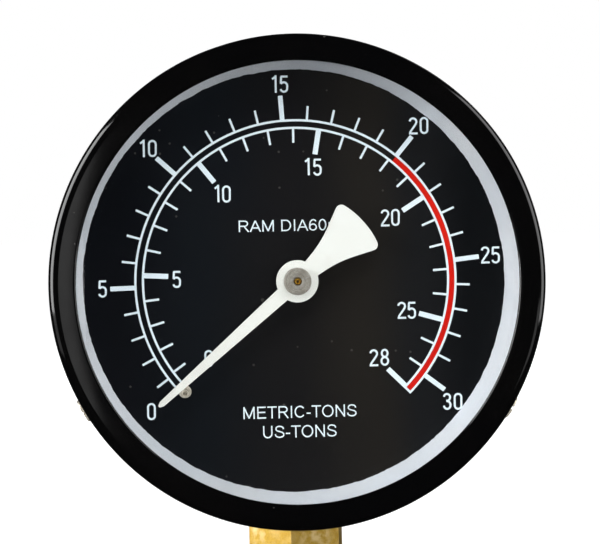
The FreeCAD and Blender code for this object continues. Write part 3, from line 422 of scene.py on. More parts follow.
def makeFinish(name, look):
    # a finish from a dictionary: two tones that drift into each other, grain, rings, painted reflection
    # bands, rubbed edges with a painted edge highlight, and dust
    look = {**finishDefaults, **look}
    finish, tree, shader = newMaterial(name)
    where = add(tree, "TexCoord").outputs["Object"]
    centred = add(tree, "Mapping", {"Vector": where, "Location": Vector(
        [-c * mm for c in look["centre"]])}).outputs["Vector"]
    patches = useEffect(tree, broadPatches, {"Vector": centred, "Scale": look["driftScale"]})["Patches"]
    colour = blendColour(tree, patches, (*look["tone"], 1), (*look["drift"], 1))
    roughness = remap(tree, patches, toMin=look["rough"][0], toMax=look["rough"][1])
    stretched = add(tree, "Mapping", {"Vector": centred, "Scale": look["stretch"]}).outputs["Vector"]
    height = useEffect(tree, grain, {"Vector": stretched, "Scale": look["grainScale"],
                                     "Coarse": look["coarse"]})["Height"]
    # the dial's bands across are a painted reflection of a warm room, laid over its tone
    if "across" in look:
        colour = blendColour(tree, look["acrossShare"], colour, paintedReflectionAcross(tree, centred, patches, look))
    if "grainTone" in look:
        share = calculate(tree, "MULTIPLY", remap(tree, height, *look["grainRange"]), look["grainShare"])
        colour = blendColour(tree, share, colour, (*look["grainTone"], 1))
    if "rings" in look:
        marks = useEffect(tree, turningMarks, {"Vector": centred, "RingsPerMetre": look["rings"]})["Rings"]
        height = calculate(tree, "ADD", calculate(tree, "MULTIPLY", height, look["grainUnderRings"]), marks)
        rougher = calculate(tree, "MULTIPLY", marks, look["ringRough"])
        roughness = calculate(tree, "ADD", roughness, rougher)
        cut = calculate(tree, "MULTIPLY", remap(tree, marks, *look["ringRange"]), look["ringShare"])
        colour = blendColour(tree, cut, colour, (*look["ringTone"], 1))
    # rubbed edges: wear, and where the edge tone is lighter than the finish, a painted edge highlight
    if "rubAndHighlight" in look:
        rubbedAndLit = useEffect(tree, edgeRubAndHighlight, {"Vector": centred, "Amount": look["rubAndHighlightAmount"]})["RubAndHighlight"]
        colour = blendColour(tree, rubbedAndLit, colour, (*look["rubAndHighlight"], 1))
    if "dust" in look:
        for cells, size in look["dustLayers"]:
            specks = useEffect(tree, dustSpecks, {"Vector": centred, "Scale": cells, "Size": size,
                                                  "Coverage": look["dust"]})["Specks"]
            specks = calculate(tree, "MULTIPLY", specks, look["dustShare"])
            colour = blendColour(tree, specks, colour, (*look["dustTone"], 1))
            roughness = calculate(tree, "MAXIMUM", roughness, specks)
    bump = add(tree, "Bump", {"Height": height, "Strength": look["bump"], "Distance": look["bumpDepth"] * mm})
    tree.links.new(colour, shader.inputs["Base Color"])
    tree.links.new(roughness, shader.inputs["Roughness"])
    tree.links.new(bump.outputs["Normal"], shader.inputs["Normal"])
    shader.inputs["Metallic"].default_value = look["metal"]
    shader.inputs["Specular IOR Level"].default_value = look["specular"]
    return finish


looks = {
    "bezelGloss": {"tone": (0.0008, 0.0008, 0.0009), "drift": (0.0013, 0.0012, 0.0012),
        "rough": (0.07, 0.11), "grainScale": 900.0, "bump": 0.03, "bumpDepth": 0.01,
        "rubAndHighlight": (0.012, 0.009, 0.008), "rubAndHighlightAmount": 0.25, "dust": 0.008, "dustShare": 0.12},
    "casePaint": {"tone": (0.009, 0.009, 0.0095), "drift": (0.015, 0.0145, 0.014), "rough": (0.2, 0.3),
        "grainScale": 1500.0, "bump": 0.18, "bumpDepth": 0.02, "rubAndHighlight": (0.05, 0.045, 0.04),
        "rubAndHighlightAmount": 0.3, "dust": 0.012, "dustShare": 0.35},
    # dialBlack: the bluish tone patched with warm brown, and the bands across, are a painted reflection of a
    # warm room on the black dial
    "dialBlack": {"tone": (0.0022, 0.003, 0.0042), "drift": (0.0085, 0.0074, 0.006),
        "rough": (0.34, 0.44), "driftScale": 14.0, "specular": 0.1,
        "across": ((0.1, (0.0024, 0.0028, 0.0042)), (0.3, (0.0046, 0.0058, 0.0078)),
                   (0.5, (0.0072, 0.0068, 0.0074)), (0.69, (0.0135, 0.0118, 0.0102)),
                   (0.8, (0.0085, 0.0088, 0.0098)), (0.92, (0.0034, 0.0038, 0.0046))),
        "grainScale": 5200.0, "bump": 0.1, "bumpDepth": 0.006, "dust": 0.008, "dustShare": 0.3,
        "dustTone": (0.16, 0.15, 0.14)},
    "dialWhitePrint": {"tone": (0.74, 0.83, 0.89), "drift": (0.8, 0.88, 0.92), "rough": (0.45, 0.55),
        "grainScale": 7000.0, "bump": 0.12, "bumpDepth": 0.005, "grainTone": (0.64, 0.73, 0.8),
        "grainShare": 0.3},
    "dialRedPrint": {"tone": (0.56, 0.007, 0.001), "drift": (0.66, 0.012, 0.003), "rough": (0.4, 0.5),
        "grainScale": 7000.0, "bump": 0.12, "bumpDepth": 0.005, "grainTone": (0.45, 0.004, 0.001),
        "grainShare": 0.35},
    "ringWhite": {"tone": (0.74, 0.77, 0.83), "drift": (0.79, 0.81, 0.85), "rough": (0.5, 0.62),
        "grainScale": 1800.0, "stretch": (1, 0.25, 1), "bump": 0.25, "bumpDepth": 0.03,
        "grainTone": (0.66, 0.68, 0.73), "grainShare": 0.35},
    "pointerWhite": {"tone": (0.76, 0.76, 0.72), "drift": (0.79, 0.79, 0.76), "rough": (0.36, 0.46),
        "grainScale": 3200.0, "bump": 0.15, "bumpDepth": 0.01, "grainTone": (0.72, 0.71, 0.66),
        "grainShare": 0.3, "rubAndHighlight": (0.66, 0.64, 0.6), "rubAndHighlightAmount": 0.4},
    # grey for the pointer's filed slope: painted shade
    "slopeShadeGrey": {"tone": (0.33, 0.35, 0.39), "drift": (0.4, 0.42, 0.46), "rough": (0.35, 0.45),
        "metal": 0.4, "driftScale": 400.0, "grainScale": 4000.0, "bump": 0.3, "bumpDepth": 0.02,
        "grainTone": (0.24, 0.25, 0.28), "grainShare": 0.5},
    "hubTurned": {"tone": (0.52, 0.49, 0.44), "drift": (0.68, 0.65, 0.6), "rough": (0.34, 0.44),
        "metal": 0.5, "driftScale": 500.0, "rings": 7000.0, "ringTone": (0.24, 0.21, 0.17),
        "ringShare": 0.8, "bump": 0.45, "bumpDepth": 0.03, "grainTone": (0.2, 0.17, 0.13),
        "grainShare": 0.45, "grainScale": 2600.0},
    "spindleBrass": {"tone": (0.5, 0.22, 0.01), "drift": (0.95, 0.62, 0.1), "rough": (0.25, 0.35),
        "metal": 0.6, "driftScale": 900.0, "grainScale": 4000.0, "bump": 0.4, "bumpDepth": 0.02,
        "grainTone": (0.3, 0.12, 0.01), "grainShare": 0.5},
    "nickel": {"tone": (0.86, 0.79, 0.66), "drift": (0.94, 0.9, 0.8), "rough": (0.18, 0.3), "metal": 0.5,
        "driftScale": 500.0, "grainScale": 1800.0, "bump": 0.5, "bumpDepth": 0.04,
        "grainTone": (0.36, 0.3, 0.22), "grainShare": 0.5},
    "steelTurned": {"tone": (0.5, 0.5, 0.51), "drift": (0.6, 0.6, 0.6), "rough": (0.26, 0.38),
        "metal": 1.0, "driftScale": 300.0, "rings": 5000.0, "ringTone": (0.36, 0.36, 0.37), "bump": 0.2,
        "bumpDepth": 0.015},
    "socketBrass": {"tone": (0.6, 0.375, 0.055), "drift": (0.63, 0.4, 0.062), "rough": (0.36, 0.4),
        "metal": 0.8, "driftScale": 200.0, "grainScale": 5200.0, "stretch": (1, 1, 0.7), "coarse": 0.22,
        "bump": 0.5, "bumpDepth": 0.03, "grainTone": (0.4, 0.22, 0.03), "grainShare": 0.55,
        "rubAndHighlight": (0.95, 0.78, 0.42), "rubAndHighlightAmount": 0.6, "centre": (0, 0, 0)},
    "movementBrass": {"tone": (0.74, 0.53, 0.22), "drift": (0.82, 0.62, 0.3), "rough": (0.24, 0.36),
        "metal": 1.0, "driftScale": 90.0, "grainScale": 2600.0, "stretch": (0.2, 1, 1), "bump": 0.2,
        "bumpDepth": 0.012, "grainTone": (0.6, 0.4, 0.14), "grainShare": 0.4},
    "tubeBronze": {"tone": (0.6, 0.37, 0.17), "drift": (0.7, 0.47, 0.24), "rough": (0.3, 0.42),
        "metal": 1.0, "driftScale": 70.0, "grainScale": 1600.0, "stretch": (1, 0.15, 1), "bump": 0.2,
        "bumpDepth": 0.015, "grainTone": (0.4, 0.2, 0.09), "grainShare": 0.5},
    "rubber": {"tone": (0.016, 0.016, 0.016), "drift": (0.026, 0.025, 0.024), "rough": (0.62, 0.78),
        "grainScale": 1500.0, "bump": 0.35, "bumpDepth": 0.03, "dust": 0.02, "dustShare": 0.4},
}
finishes = {name: makeFinish(name, look) for name, look in looks.items()}


glassLook = {"tone": (0.985, 0.995, 0.99), "index": 1.5, "clear": (0.97, 0.98, 0.98), "haze": 0.02,
             "hazeScale": 30.0, "hazeRange": (0.5, 0.8)}


def makeGlass():
    # clear glass that lets the lamps' light through to the dial
    glass, tree, shader = newMaterial("windowGlass")
    shader.inputs["Base Color"].default_value = (*glassLook["tone"], 1)
    shader.inputs["Transmission Weight"].default_value = 1.0
    shader.inputs["IOR"].default_value = glassLook["index"]
    where = add(tree, "TexCoord").outputs["Object"]
    hazeFrom, hazeTo = glassLook["hazeRange"]
    patches = useEffect(tree, broadPatches, {"Vector": where, "Scale": glassLook["hazeScale"], "From": hazeFrom,
                                    "To": hazeTo})["Patches"]
    tree.links.new(remap(tree, patches, toMax=glassLook["haze"]), shader.inputs["Roughness"])
    clear = add(tree, "BsdfTransparent", {"Color": (*glassLook["clear"], 1)})
    lamps = add(tree, "LightPath").outputs["Is Shadow Ray"]
    both = add(tree, "MixShader", {0: lamps, 1: shader.outputs["BSDF"], 2: clear.outputs["BSDF"]})
    tree.links.new(both.outputs["Shader"], tree.nodes["Material Output"].inputs["Surface"])
    return glass


windowGlass = makeGlass()
print("finishes made:", len(finishes) + 1)


# ---- bezel

# sag is how far the fitted ring has dropped from the spindle's centre
bezelShape = {"wall": 1.0, "opening": 48.9, "shoulder": 2.3, "lip": 0.6, "innerLip": 0.25, "hem": 0.3,
              "sag": 0.18}


def makeBezel():
    outer, front, back = reach("bezel"), faceDepth("bezel"), backDepth("bezel")
    wall, opening = bezelShape["wall"], bezelShape["opening"]
    inner = outer - wall
    piece = turned("bezel_ring", [
        (outer, back), (outer, front), (opening, front), (opening, front - wall), (inner, front - wall),
        (inner, back), (outer, back)], steps=360, rounds=[
        (outer, front, bezelShape["shoulder"], 12),
        (opening, front, bezelShape["lip"], 7),
        (opening, front - wall, bezelShape["innerLip"], 3),
        (inner, front - wall, bezelShape["shoulder"] - wall, 6),
        (outer, back, bezelShape["hem"], 3)])
    piece.data.transform(Matrix.Translation((0, 0, -bezelShape["sag"] * mm)))
    complete(piece, finishes["bezelGloss"], replaced=["bezel"])


makeBezel()
print("bezel made")


# ---- case

caseShape = {
    "wall": 1.0, "step": 2.3, "stepRound": 1.0, "seatRound": 0.4, "backRound": 3.5, "backFlat": 8.0,
    "seat": 20.6, "neckHole": 8.9, "neckFrom": 10.0, "neckDown": 30.0, "plugHole": 8.0, "plugUp": 30.0,
    "screwHole": 2.05, "screwSide": 6.5, "screwDown": 40.0, "cutBehind": 3.0, "cutInside": 5.0,
}


def makeCase():
    wall, seat = caseShape["wall"], caseShape["seat"]
    rim, front, back = reach("case"), faceDepth("case"), backDepth("case")
    body = rim - caseShape["step"]
    flat = body - caseShape["backFlat"]
    piece = turned("case_shell", [
        (0, back), (flat, back), (body, back), (body, seat - wall), (rim, seat - wall), (rim, front),
        (rim - wall, front), (rim - wall, seat), (body - wall, seat), (body - wall, back + wall),
        (flat, back + wall), (0, back + wall)], steps=288, rounds=[
        (body, back, caseShape["backRound"], 10),
        (rim, seat - wall, caseShape["stepRound"], 6),
        (body, seat - wall, caseShape["seatRound"], 3),
        (body - wall, back + wall, caseShape["backRound"] - wall, 6)])
    combine(piece, drillRod(caseShape["neckHole"], caseShape["neckFrom"], spindleZ - caseShape["neckDown"],
                            (0, 0, 0), axis="Z"))
    screwSide, screwZ = caseShape["screwSide"], spindleZ - caseShape["screwDown"]
    for radius, x, z in ((caseShape["plugHole"], 0, spindleZ + caseShape["plugUp"]),
                         (caseShape["screwHole"], -screwSide, screwZ),
                         (caseShape["screwHole"], screwSide, screwZ)):
        combine(piece, drillRod(radius, -back + caseShape["cutBehind"], -back - caseShape["cutInside"],
                                (x, 0, z)))
    complete(piece, finishes["casePaint"], replaced=["case"])


makeCase()
print("case made")


# ---- window and the white ring behind it

windowShape = {"edge": 0.3, "rim": 2.0}
ringShape = {
    "foot": 47.5, "top": 49.7, "wall": 1.0, "flange": 0.8, "left": 0.3, "slack": 0.3, "lip": 0.25,
    "footCut": 0.12, "footBand": 0.8, "rag": 0.17, "ragEven": 0.35, "ragSoft": 0.35,
    "burrBand": 0.6, "longBurr": 0.07, "longWaves": (11, 5), "burrShift": 1.3, "shortBurr": 0.05,
    "shortWave": 37,
}


def makeWindow():
    radius, front, back, edge = reach("window"), faceDepth("window"), backDepth("window"), windowShape["edge"]
    inner = radius - windowShape["rim"]
    piece = turned("window_pane", [
        (0, back), (inner, back), (radius, back), (radius, front), (inner, front), (0, front)],
        rounds=[(radius, back, edge, 2), (radius, front, edge, 2)])
    complete(piece, windowGlass, replaced=["window"])


def makeWhiteRing():
    s = ringShape
    top, foot = faceDepth("spacer_ring"), backDepth("spacer_ring")
    outer, flange, ragDepth = reach("spacer_ring") - s["slack"], top - s["flange"], foot + s["footCut"]
    slope = (s["top"] - s["foot"]) / (top - foot)
    piece = turned("white_ring", [
        (s["foot"], ragDepth), (s["foot"] + s["wall"], foot), (s["top"] + s["wall"], flange),
        (outer, flange), (outer, top), (s["top"], top),
        (s["foot"] + slope * s["footBand"], foot + s["footBand"]), (s["foot"], ragDepth)],
        steps=420, rounds=[(s["top"], top, s["lip"], 3)])
    # the foot is cut by hand: its inner edge wanders and has small burrs
    editing(piece)
    pick(piece, lambda v: abs(-v.co.y - ragDepth * mm) < tiny)
    bpy.ops.transform.vertex_random(offset=s["rag"] * mm, uniform=s["ragEven"], normal=0.0, seed=7)
    bpy.ops.mesh.vertices_smooth(factor=s["ragSoft"], repeat=1, yaxis=False)
    leaveEditing()
    for v in piece.data.vertices:
        arm = Vector((v.co.x, 0, v.co.z - spindleZ * mm))
        if v.co.y > -(foot + s["burrBand"]) * mm and arm.length < (s["foot"] + s["burrBand"]) * mm:
            around = math.atan2(arm.z, arm.x)
            slow, fast = s["longWaves"]
            burr = (s["longBurr"] * math.sin(slow * around + s["burrShift"]) * math.sin(fast * around)
                    + s["shortBurr"] * math.sin(s["shortWave"] * around))
            v.co -= arm.normalized() * max(0.0, burr) * mm
    piece.data.transform(Matrix.Translation((-s["left"] * mm, 0, 0)))
    complete(piece, finishes["ringWhite"], replaced=["spacer_ring"])


makeWindow()
makeWhiteRing()
print("window and white ring made")


# ---- dial plate

dialShape = {"bore": 2.2, "edge": 0.1, "pinRadius": 0.8, "cutPast": 1.0}
dialFace = faceDepth("dial")
pinPlace = (Vector(low("stop_pin")) + Vector(high("stop_pin"))) / 2


def makeDial():
    radius, back, bore, edge = reach("dial"), backDepth("dial"), dialShape["bore"], dialShape["edge"]
    piece = turned("dial_plate", [(bore, back), (radius, back), (radius, dialFace), (bore, dialFace),
                                  (bore, back)], steps=256, rounds=[
        (radius, dialFace, edge, 2), (bore, dialFace, edge, 2)])
    past = dialShape["cutPast"]
    combine(piece, drillRod(dialShape["pinRadius"], -back + past, -dialFace - past, pinPlace))
    complete(piece, finishes["dialBlack"], replaced=["dial"])


makeDial()

# ---- dial print: every mark stands a hair above the plate

# angles are anticlockwise from the right; bars are (inner radius, outer radius, width)
scale = {
    "zero": 225.0, "end": -45.0, "inkHeight": 0.03, "inkSunk": 0.01, "inkCorner": 0.09,
    "usPerTon": 8.748, "metricPerTon": 9.643,
    "usTons": 30, "metricTons": 28, "redFrom": 20, "redLower": 0.004,
    "outerLine": (35.9, 36.4), "innerLine": (34.2, 34.7), "redBand": (34.66, 35.94),
    "usMinor": (36.3, 39.4, 0.5), "usMajor": (36.3, 41.8, 1.06),
    "metricMinor": (31.1, 34.3, 0.5), "metricMajor": (28.8, 34.3, 1.15),
    "fullScaleBar": (28.8, 34.66, 1.15), "closingLine": (34.2, 36.4, 0.5), "closingSide": 0.32,
    "lineEnd": -45.9,
}


def onDial(x, z):
    return Matrix.Translation(Vector((x * mm, -dialFace * mm, (spindleZ + z) * mm)))


def turnedOnDial(angle):
    return onDial(0, 0) @ Matrix.Rotation(math.radians(-angle), 4, "Y")


def inkTop():
    return scale["inkHeight"] - scale["inkSunk"]


def inkBar(inner, outer, width):
    # one bar along +X with slightly rounded corners, standing on the dial's face at the origin
    middle = (inkTop() - scale["inkSunk"]) / 2
    bar = slab((outer - inner, scale["inkHeight"], width), ((inner + outer) / 2, -middle, 0))
    roundAlong(bar, 1, scale["inkCorner"], 2)
    return bar


def inkArc(name, inner, outer, first, last):
    top, bottom = dialFace + inkTop(), dialFace - scale["inkSunk"]
    sweep = first - last
    piece = turned(name, [(inner, bottom), (outer, bottom), (outer, top), (inner, top), (inner, bottom)],
                   steps=int(sweep), angle=sweep, start=first)
    capEnds(piece)
    return piece


def makeScale():
    kinds = {kind: inkBar(*scale[kind]) for kind in ("usMinor", "usMajor", "metricMinor", "metricMajor")}
    marks = []
    for unit, tons, step in (("us", scale["usTons"], scale["usPerTon"]),
                             ("metric", scale["metricTons"], scale["metricPerTon"])):
        for ton in range(1, tons + 1):
            if unit == "metric" and ton == tons:
                continue  # full scale has its own bar
            source = kinds[unit + ("Minor" if ton % 5 else "Major")]
            marks.append(duplicate(source, turnedOnDial(scale["zero"] - ton * step)))
    fullScale, closing = inkBar(*scale["fullScaleBar"]), inkBar(*scale["closingLine"])
    marks.append(duplicate(fullScale, turnedOnDial(scale["end"])))
    aside = Matrix.Translation((0, 0, -scale["closingSide"] * mm))
    marks.append(duplicate(closing, turnedOnDial(scale["end"]) @ aside))
    for source in (*kinds.values(), fullScale, closing):
        bpy.data.objects.remove(source)
    marks.append(inkArc("outer_line", *scale["outerLine"], scale["zero"], scale["lineEnd"]))
    marks.append(inkArc("inner_line", *scale["innerLine"], scale["zero"], scale["lineEnd"]))
    complete(join(marks, "dial_scale"), finishes["dialWhitePrint"])
    redStart = scale["zero"] - scale["redFrom"] * scale["usPerTon"]
    red = inkArc("dial_red_band", *scale["redBand"], redStart, scale["end"])
    red.data.transform(Matrix.Translation((0, scale["redLower"] * mm, 0)))
    complete(red, finishes["dialRedPrint"])


makeScale()
print("scale printed")

# figures are strokes of a flat pen, in millimetres about the figure's middle; a stroke that ends where
# it began is closed, and each next stroke stands a layer higher, so crossing strokes share no face
pen = {"width": 0.45, "half": 0.765, "rise": 1.7, "end": 1.95, "layer": 0.0015, "meet": 0.001}


def bow(x, z, rx, rz, first, last, count=10):
    return [(x + rx * math.cos(math.radians(first + (last - first) * i / count)),
             z + rz * math.sin(math.radians(first + (last - first) * i / count))) for i in range(count + 1)]


def figureStrokes():
    half, rise, end = pen["half"], pen["rise"], pen["end"]
    arch = rise - half
    return {
        "0": [bow(0, arch, half, half, 0, 180) + bow(0, -arch, half, half, 180, 360)[:-1] + [(half, arch)]],
        "1": [[(0.315, end), (0.315, -end)], [(0.3, 1.66), (-0.47, 1.1)]],
        "2": [bow(0, 0.94, half, 0.76, 172, -28) + [(0.42, 0.15), (-0.62, -1.3), (-0.7, -1.72)],
              [(-0.94, -rise), (0.98, -rise)]],
        "3": [bow(-0.02, 0.93, 0.72, 0.77, 168, -70) + [(-0.18, 0.16)],
              [(-0.18, 0.12)] + bow(0, -0.82, half, 0.88, 70, -170)],
        "5": [[(0.86, rise), (-0.7, rise)], [(-0.58, rise), (-0.68, 0.1)],
              bow(-0.02, -0.38, 0.78, 0.8, 145, 0, 8) + bow(0, -0.94, half, 0.76, 0, -168, 9)[1:]],
        "8": [bow(0, 0.9, 0.66, 0.8, 0, 360, 18), bow(0, -0.84, half, 0.86, 0, 360, 18)],
    }


def penTip():
    # the pen's section, which every stroke is swept with
    clearSelection()
    bpy.ops.curve.primitive_bezier_circle_add(radius=mm)
    tip = bpy.context.object
    tip.data.splines.remove(tip.data.splines[0])
    spline = tip.data.splines.new("POLY")
    spline.points.add(3)
    w, h = pen["width"] / 2 * mm, scale["inkHeight"] / 2 * mm
    for point, (x, y) in zip(spline.points, ((-w, -h), (w, -h), (w, h), (-w, h))):
        point.co = (x, y, 0, 1)
    spline.use_cyclic_u = True
    return tip


def drawFigure(mark, strokes, tip):
    drawn = bpy.data.curves.new("figure_" + mark, "CURVE")
    drawn.dimensions = "3D"
    drawn.twist_mode = "Z_UP"
    drawn.bevel_mode = "OBJECT"
    drawn.bevel_object = tip
    drawn.use_fill_caps = True
    for layer, points in enumerate(strokes):
        closed = math.dist(points[0], points[-1]) < pen["meet"]
        if closed:
            points = points[:-1]
        spline = drawn.splines.new("POLY")
        spline.points.add(len(points) - 1)
        for point, (x, z) in zip(spline.points, points):
            point.co = (x * mm, z * mm, layer * pen["layer"] * mm, 1)
        spline.use_cyclic_u = closed
    piece = bpy.data.objects.new("figure_" + mark, drawn)
    bpy.context.scene.collection.objects.link(piece)
    choose(piece)
    bpy.ops.object.convert(target="MESH")
    piece = bpy.context.object
    piece.data.transform(Matrix.Translation((0, -(inkTop() - scale["inkSunk"]) / 2 * mm, 0))
                         @ Matrix.Rotation(math.radians(90), 4, "X"))
    return piece


figures = [  # figure, right of the spindle, above the spindle
    ("0", -33.19, -28.66), ("5", -43.53, -0.86), ("1", -33.91, 30.44), ("0", -31.66, 30.39),
    ("1", -4.01, 44.35), ("5", -1.86, 44.3), ("2", 27.17, 34.39), ("0", 29.66, 34.45),
    ("2", 43.01, 4.9), ("5", 45.38, 4.85), ("3", 33.69, -28.11), ("0", 36.18, -28.16),
    ("0", -20.06, -17.05), ("5", -26.89, 0.91), ("1", -17.43, 20.02), ("0", -15.28, 19.86),
    ("1", 3.03, 25.66), ("5", 5.29, 25.5), ("2", 20.39, 13.76), ("0", 22.76, 13.82),
    ("2", 23.76, -7.21), ("5", 26.02, -7.26), ("2", 17.2, -17.8), ("8", 19.69, -17.74)]


# letters in heights of a capital: how far each moves the pen on, and its strokes
letters = {
    " ": (0.39, []),
    "-": (0.47, [[(0.06, 0.36), (0.41, 0.36)]]),
    "A": (0.93, [[(0.05, 0), (0.466, 0.96)], [(0.466, 0.96), (0.88, 0)], [(0.2, 0.33), (0.73, 0.33)]]),
    "C": (1.01, [bow(0.52, 0.5, 0.4, 0.44, 38, 322, 18)]),
    "D": (1.01, [[(0.17, 0), (0.17, 1)],
                 [(0.17, 0.94)] + bow(0.48, 0.5, 0.39, 0.44, 90, -90, 12) + [(0.17, 0.06)]]),
    "E": (0.93, [[(0.165, 0), (0.165, 1)], [(0.165, 0.94), (0.83, 0.94)],
                 [(0.165, 0.52), (0.79, 0.52)], [(0.165, 0.06), (0.85, 0.06)]]),
    "I": (0.39, [[(0.195, 0), (0.195, 1)]]),
    "M": (1.16, [[(0.16, 0), (0.16, 1)], [(0.17, 0.96), (0.58, 0.05)],
                 [(0.58, 0.05), (0.99, 0.96)], [(1.0, 0), (1.0, 1)]]),
    "N": (1.01, [[(0.165, 0), (0.165, 1)], [(0.18, 0.95), (0.83, 0.05)], [(0.84, 0), (0.84, 1)]]),
    "O": (1.09, [bow(0.54, 0.5, 0.43, 0.45, 0, 360, 28)]),
    "R": (1.01, [[(0.17, 0), (0.17, 1)],
                 [(0.17, 0.94)] + bow(0.6, 0.72, 0.24, 0.22, 90, -90) + [(0.17, 0.5)],
                 [(0.54, 0.5), (0.92, 0)]]),
    "S": (0.93, [[(0.79, 0.72), (0.76, 0.83), (0.65, 0.92), (0.47, 0.95), (0.29, 0.92), (0.18, 0.82),
                  (0.17, 0.69), (0.26, 0.59), (0.48, 0.52), (0.7, 0.45), (0.81, 0.33), (0.8, 0.19),
                  (0.68, 0.09), (0.47, 0.05), (0.26, 0.09), (0.14, 0.19), (0.11, 0.32)]]),
    "T": (0.85, [[(0.03, 0.94), (0.82, 0.94)], [(0.425, 0), (0.425, 0.94)]]),
    "U": (1.01, [[(0.165, 1)] + bow(0.5, 0.37, 0.335, 0.32, 180, 360, 12) + [(0.835, 1)]]),
    "6": (0.78, [bow(0.39, 0.31, 0.27, 0.26, 0, 360, 20),
                 [(0.63, 0.8), (0.56, 0.91), (0.43, 0.95), (0.28, 0.9), (0.17, 0.75), (0.13, 0.55),
                  (0.12, 0.33)]]),
    "0": (0.78, [bow(0.39, 0.5, 0.27, 0.45, 0, 360, 24)]),
    "m": (1.16, [[(0.16, 0), (0.16, 0.72)],
                 [(0.16, 0.48), (0.24, 0.61), (0.37, 0.655), (0.5, 0.61), (0.56, 0.46), (0.56, 0)],
                 [(0.57, 0.46), (0.66, 0.61), (0.79, 0.655), (0.92, 0.61), (0.98, 0.46), (0.98, 0)]]),
}
lettering = {  # words, middle x, middle z, width, capital height
    "METRIC-TONS": (0.25, -29.6, 25.6, 2.85),
    "US-TONS": (0.12, -34.0, 16.6, 2.8),
    "RAM DIA60mm": (0.3, 12.5, 26.0, 2.7),
}
letterSize = 4.1  # capitals are drawn this tall with the same pen, then made smaller


def makeFigures(tip):
    drawn = {mark: drawFigure(mark, strokes, tip) for mark, strokes in figureStrokes().items()}
    placed = [duplicate(drawn[mark], onDial(x, z)) for mark, x, z in figures]
    for source in drawn.values():
        bpy.data.objects.remove(source)
    complete(join(placed, "dial_figures"), finishes["dialWhitePrint"])


def writeWords(words, x, z, width, height, tip):
    along, written = 0.0, []
    for letter in words:
        step, strokes = letters[letter]
        sized = [[((along + px) * letterSize, pz * letterSize) for px, pz in points]
                 for points in strokes]
        if sized:
            written.append(drawFigure(letter, sized, tip))
        along += step
    piece = join(written, words)
    xs = [v.co.x for v in piece.data.vertices]
    zs = [v.co.z for v in piece.data.vertices]
    across, up = width * mm / (max(xs) - min(xs)), height * mm / (max(zs) - min(zs))
    centre = Vector((-(max(xs) + min(xs)) / 2, 0, -(max(zs) + min(zs)) / 2))
    piece.data.transform(onDial(x, z) @ Matrix.Diagonal((across, 1, up, 1)) @ Matrix.Translation(centre))
    return piece


penNib = penTip()
makeFigures(penNib)
complete(join([writeWords(words, *values, penNib) for words, values in lettering.items()], "dial_lettering"),
         finishes["dialWhitePrint"])
bpy.data.objects.remove(penNib)
print("figures and lettering printed")


# ---- pointer

# the blade's upper flank is filed to a slope near its tip: from how far out, beside which line, how deep
pointerShape = {"edge": 0.09, "bevelFrom": 33.2, "bevelLine": 0.12, "bevelDrop": 0.3, "bevelRamp": 2.0,
                "lineGap": 0.05, "tipBand": 0.05, "shadeFrom": 1.5}


def makePointer():
    s = pointerShape
    piece = copyOfNode("pointer", "pointer_blade")
    centre = Vector((0, 0, spindleZ * mm))
    flat = [Vector((v.co.x, 0, v.co.z)) - centre for v in piece.data.vertices]
    longest = max(p.length for p in flat)
    along = sum((p for p in flat if p.length > longest - s["tipBand"] * mm), Vector((0, 0, 0))).normalized()
    side = Vector((-along.z, 0, along.x))
    upper = side if side.z > 0 else -side
    front = min(v.co.y for v in piece.data.vertices)
    start = s["bevelFrom"] * mm - tiny
    editing(piece)
    selectAll()
    bpy.ops.mesh.dissolve_limited(angle_limit=math.radians(1.0))
    selectAll()
    bpy.ops.mesh.bisect(plane_co=centre + along * s["bevelFrom"] * mm, plane_no=along)
    selectAll(False)
    bpy.ops.mesh.select_mode(type="FACE")
    pick(piece, lambda f: all((v.co - centre).dot(along) > start for v in f.verts), "faces")
    bpy.ops.mesh.bisect(plane_co=centre + upper * s["bevelLine"] * mm, plane_no=upper)
    selectAll(False)
    bpy.ops.mesh.select_mode(type="VERT")
    pick(piece, lambda v: (abs(v.co.y - front) < tiny
                           and (v.co - centre).dot(along) > start + s["bevelRamp"] * mm
                           and (v.co - centre).dot(upper) > (s["bevelLine"] + s["lineGap"]) * mm))
    bpy.ops.transform.translate(value=(0, s["bevelDrop"] * mm, 0))
    leaveEditing()
    softenEdges(piece, s["edge"], segments=2, angle=50)
    complete(piece, finishes["pointerWhite"], body="pointer", replaced=["pointer"],
             smooth=25)
    # the sloped facets near the tip get a darker grey finish: painted shade on the filed slope
    piece.data.materials.append(finishes["slopeShadeGrey"])
    for facet in piece.data.polygons:
        arm = facet.center - centre
        sloped = -0.996 < facet.normal.y < -0.3 or facet.normal.dot(upper) > 0.5
        beyond = arm.dot(along) > start + s["shadeFrom"] * mm and arm.dot(upper) > s["bevelLine"] * mm
        if sloped and beyond:
            facet.material_index = 1


# the mark is the arbor's end, as (radius, how far it stands past the arbor's own nose)
hubShape = {
    "boss": 3.05, "shank": 1.7, "flange": 2.6, "bore": 0.92, "edge": 0.3, "boreEdge": 0.25,
    "grooves": (2.5, 1.75), "groove": 0.16, "grooveMouth": 0.12, "grooveFloor": 0.05,
    "mark": ((0, -0.45), (0.3, -0.05), (0.42, 0.1), (0.56, 0.1), (0.86, -0.35), (0.86, -0.8), (0, -0.8)),
}


